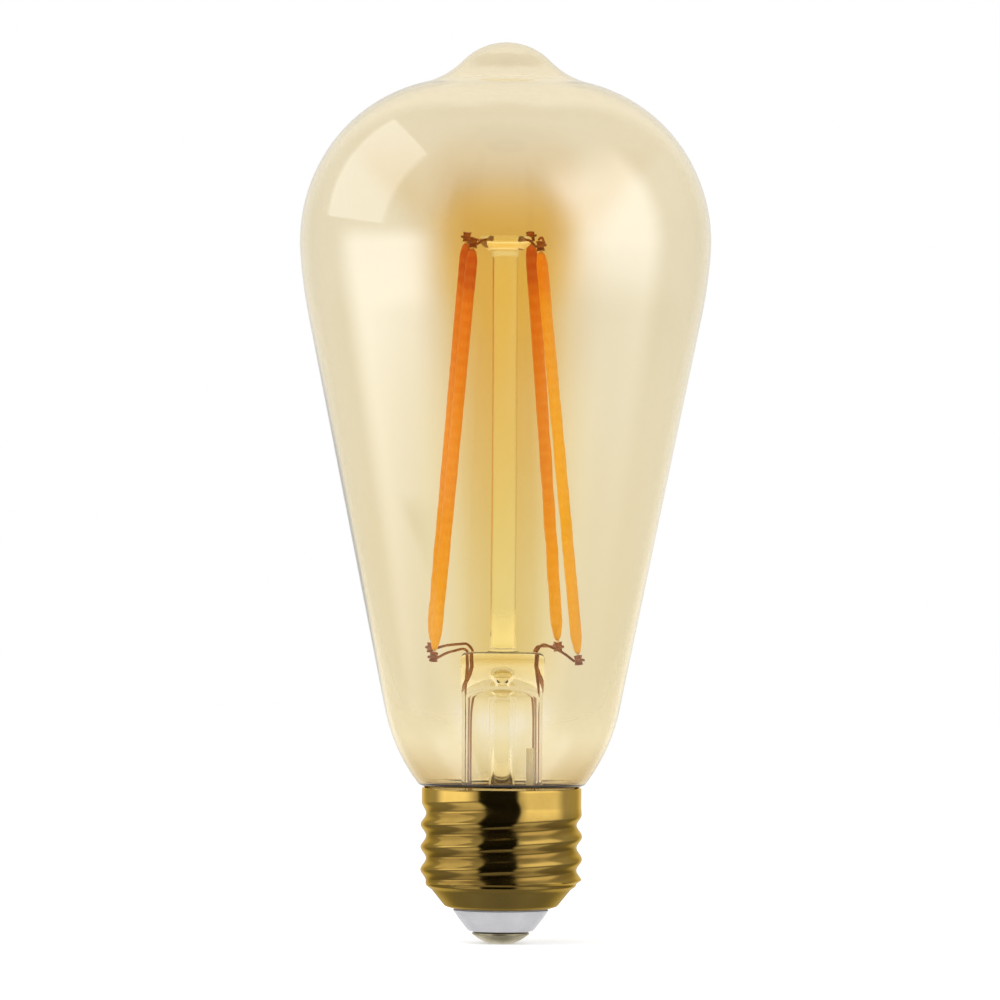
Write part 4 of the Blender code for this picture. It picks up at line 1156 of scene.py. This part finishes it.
def wall_patch(azimuths, heights, radius, spread):
    """Rows of points on an upright wall round the bulb's axis, wider by spread at both ends."""
    rows = []
    for share, z in zip(spaced(-1.0, 1.0), spaced(*heights)):
        wider = 1 + spread * share**2
        rows.append([on_circle(wider * azimuth - 90, radius, z) for azimuth in spaced(*azimuths)])
    return rows


def card_mesh(name, rows):
    """A card's mesh, with its UV running from 0 to 1 across and up it."""
    build = bmesh.new()
    layer = build.loops.layers.uv.new("UVMap")
    grid = [[build.verts.new(point) for point in row] for row in rows]
    for i in range(PANEL_STEPS):
        for k in range(PANEL_STEPS):
            corners = [(i, k), (i, k + 1), (i + 1, k + 1), (i + 1, k)]
            face = build.faces.new([grid[a][b] for a, b in corners])
            for loop, (a, b) in zip(face.loops, corners):
                loop[layer].uv = (b / PANEL_STEPS, a / PANEL_STEPS)
    mesh = bpy.data.meshes.new(name)
    build.to_mesh(mesh)
    build.free()
    return mesh


def panel(name, rows, strength, fade):
    """A card that only mirrors show: a softbox, or a dark flag where it is dim.

    fade is the share of its width and of its height over which its edges go soft.
    """
    made, tree = blank(name)
    spot = node(tree, "SeparateXYZ", {0: node(tree, "TexCoord").outputs["UV"]})
    edges = []
    for axis, width in (("X", fade[0]), ("Y", fade[1])):
        for start, end in ((0.0, width), (1.0, 1.0 - width)):
            edges.append(ramp(tree, spot.outputs[axis], start, end, 0.0, 1.0, True))
    glow = node(tree, "Emission", {"Strength": strength}).outputs[0]
    nothing = node(tree, "BsdfTransparent").outputs[0]
    faded = node(tree, "MixShader", {0: product(tree, *edges), 1: nothing, 2: glow})
    close(made, tree, faded.outputs[0])
    made.cycles.emission_sampling = "NONE"
    card = link(name, card_mesh(name, rows), [made])
    card.visible_camera = False
    card.visible_diffuse = False
    card.visible_transmission = False
    card.visible_shadow = False


def lamp(name, azimuth, elevation, size, energy, distance=0.8):
    """A soft lamp that lights matt surfaces and isn't mirrored."""
    light = bpy.data.lights.new(name, "AREA")
    light.shape = "DISK"
    light.size = size
    light.energy = energy
    made = bpy.data.objects.new(name, light)
    made.location = towards(azimuth, elevation, distance)
    away = made.location - towards(azimuth, elevation, 0.0)
    made.rotation_mode = "QUATERNION"
    made.rotation_quaternion = away.to_track_quat("Z", "Y")
    made.visible_camera = False
    made.visible_glossy = False
    made.visible_transmission = False
    bpy.context.scene.collection.objects.link(made)


def cards():
    """Softboxes at both sides, a dark front, a black card by the base and a pale backdrop."""
    window = [(-121.5, 11.4), (-69, 11), (-61.5, 53), (-140, 46.5)]
    panel("softbox_left_high", flat_patch(window, 0.7), 1.05, (0.12, 0.03))
    panel("softbox_left", dome_patch((-112, -32), (-24, 14), 0.71), 1.5, (0.3, 0.35))
    panel("softbox_right", dome_patch((18, 104), (-24, 60), 0.71), 1.5, (0.25, 0.35))
    panel("sweep_left", dome_patch((-100, -24), (-72, -26), 0.71), 0.8, (0.3, 0.3))
    panel("sweep_right", dome_patch((24, 100), (-72, -26), 0.71), 0.8, (0.3, 0.3))
    panel("flag_front", dome_patch((-36, 26), (-85, 56), 0.72), 0.01, (0.12, 0.3))
    near = wall_patch((-28.5, 21), (-42 * MM, 72 * MM), 30 * MM, 0.9)
    panel("flag_base", near, 0.01, (0.12, 0.06))
    panel("backdrop", dome_patch((134, 226), (-60, 80), 0.73), 0.88, (0.25, 0.1))


def floor_sheet():
    """The pale floor, which fades out a long way from the bulb."""
    made, tree = blank("floor")
    at = place(tree)
    shader = surface(
        tree,
        Base_Color=mix(tree, noise(tree, at, 300.0, 2.0), rgb(0.93, 0.93, 0.93), rgb(0.96, 0.96, 0.96)),
        Roughness=0.9,
        Specular_IOR_Level=0.1,
        Emission_Color=rgb(1, 1, 1),
        Emission_Strength=0.3,
    )
    nothing = node(tree, "BsdfTransparent").outputs[0]
    away = ramp(tree, radius_of(tree, at), 0.3, 1.2, smooth=True)
    close(made, tree, node(tree, "MixShader", {0: away, 1: shader, 2: nothing}).outputs[0])
    floor_mesh = bpy.data.meshes.new("floor")
    reach = 1.3
    corners = [(-reach, -reach, 0), (reach, -reach, 0), (reach, reach, 0), (-reach, reach, 0)]
    floor_mesh.from_pydata(corners, [], [(0, 1, 2, 3)])
    sheet = link("floor", floor_mesh, [made])
    sheet.visible_glossy = False


def camera():
    """A long lens, level with the bulb, turned by the photograph's slight roll."""
    lens = bpy.data.cameras.new("camera")
    made = bpy.data.objects.new("camera", lens)
    distance = 1.5
    elevation = radians(0.6)
    roll = radians(-0.41)
    lens.sensor_width = 36
    lens.lens = 335.9
    aim = Vector((-0.6 * MM, 0, 71.3 * MM))
    back = Vector((0, -cos(elevation), sin(elevation)))
    made.location = aim + back * distance
    made.rotation_mode = "QUATERNION"
    upright = (-back).to_track_quat("-Z", "Y")
    made.rotation_quaternion = upright @ Matrix.Rotation(-roll, 3, "Z").to_quaternion()
    lens.clip_end = 50
    bpy.context.scene.collection.objects.link(made)
    bpy.context.scene.camera = made


def main():
    glass_bulb()
    stem()
    filaments()
    lead_wires()
    hook_wires()
    screw_base()
    insulator()
    contact()
    inner_materials()
    studio()
    floor_sheet()
    cards()
    lamp("key", -50, 35, 0.7, 3)
    lamp("fill", 60, 20, 0.7, 2)
    camera()


main()
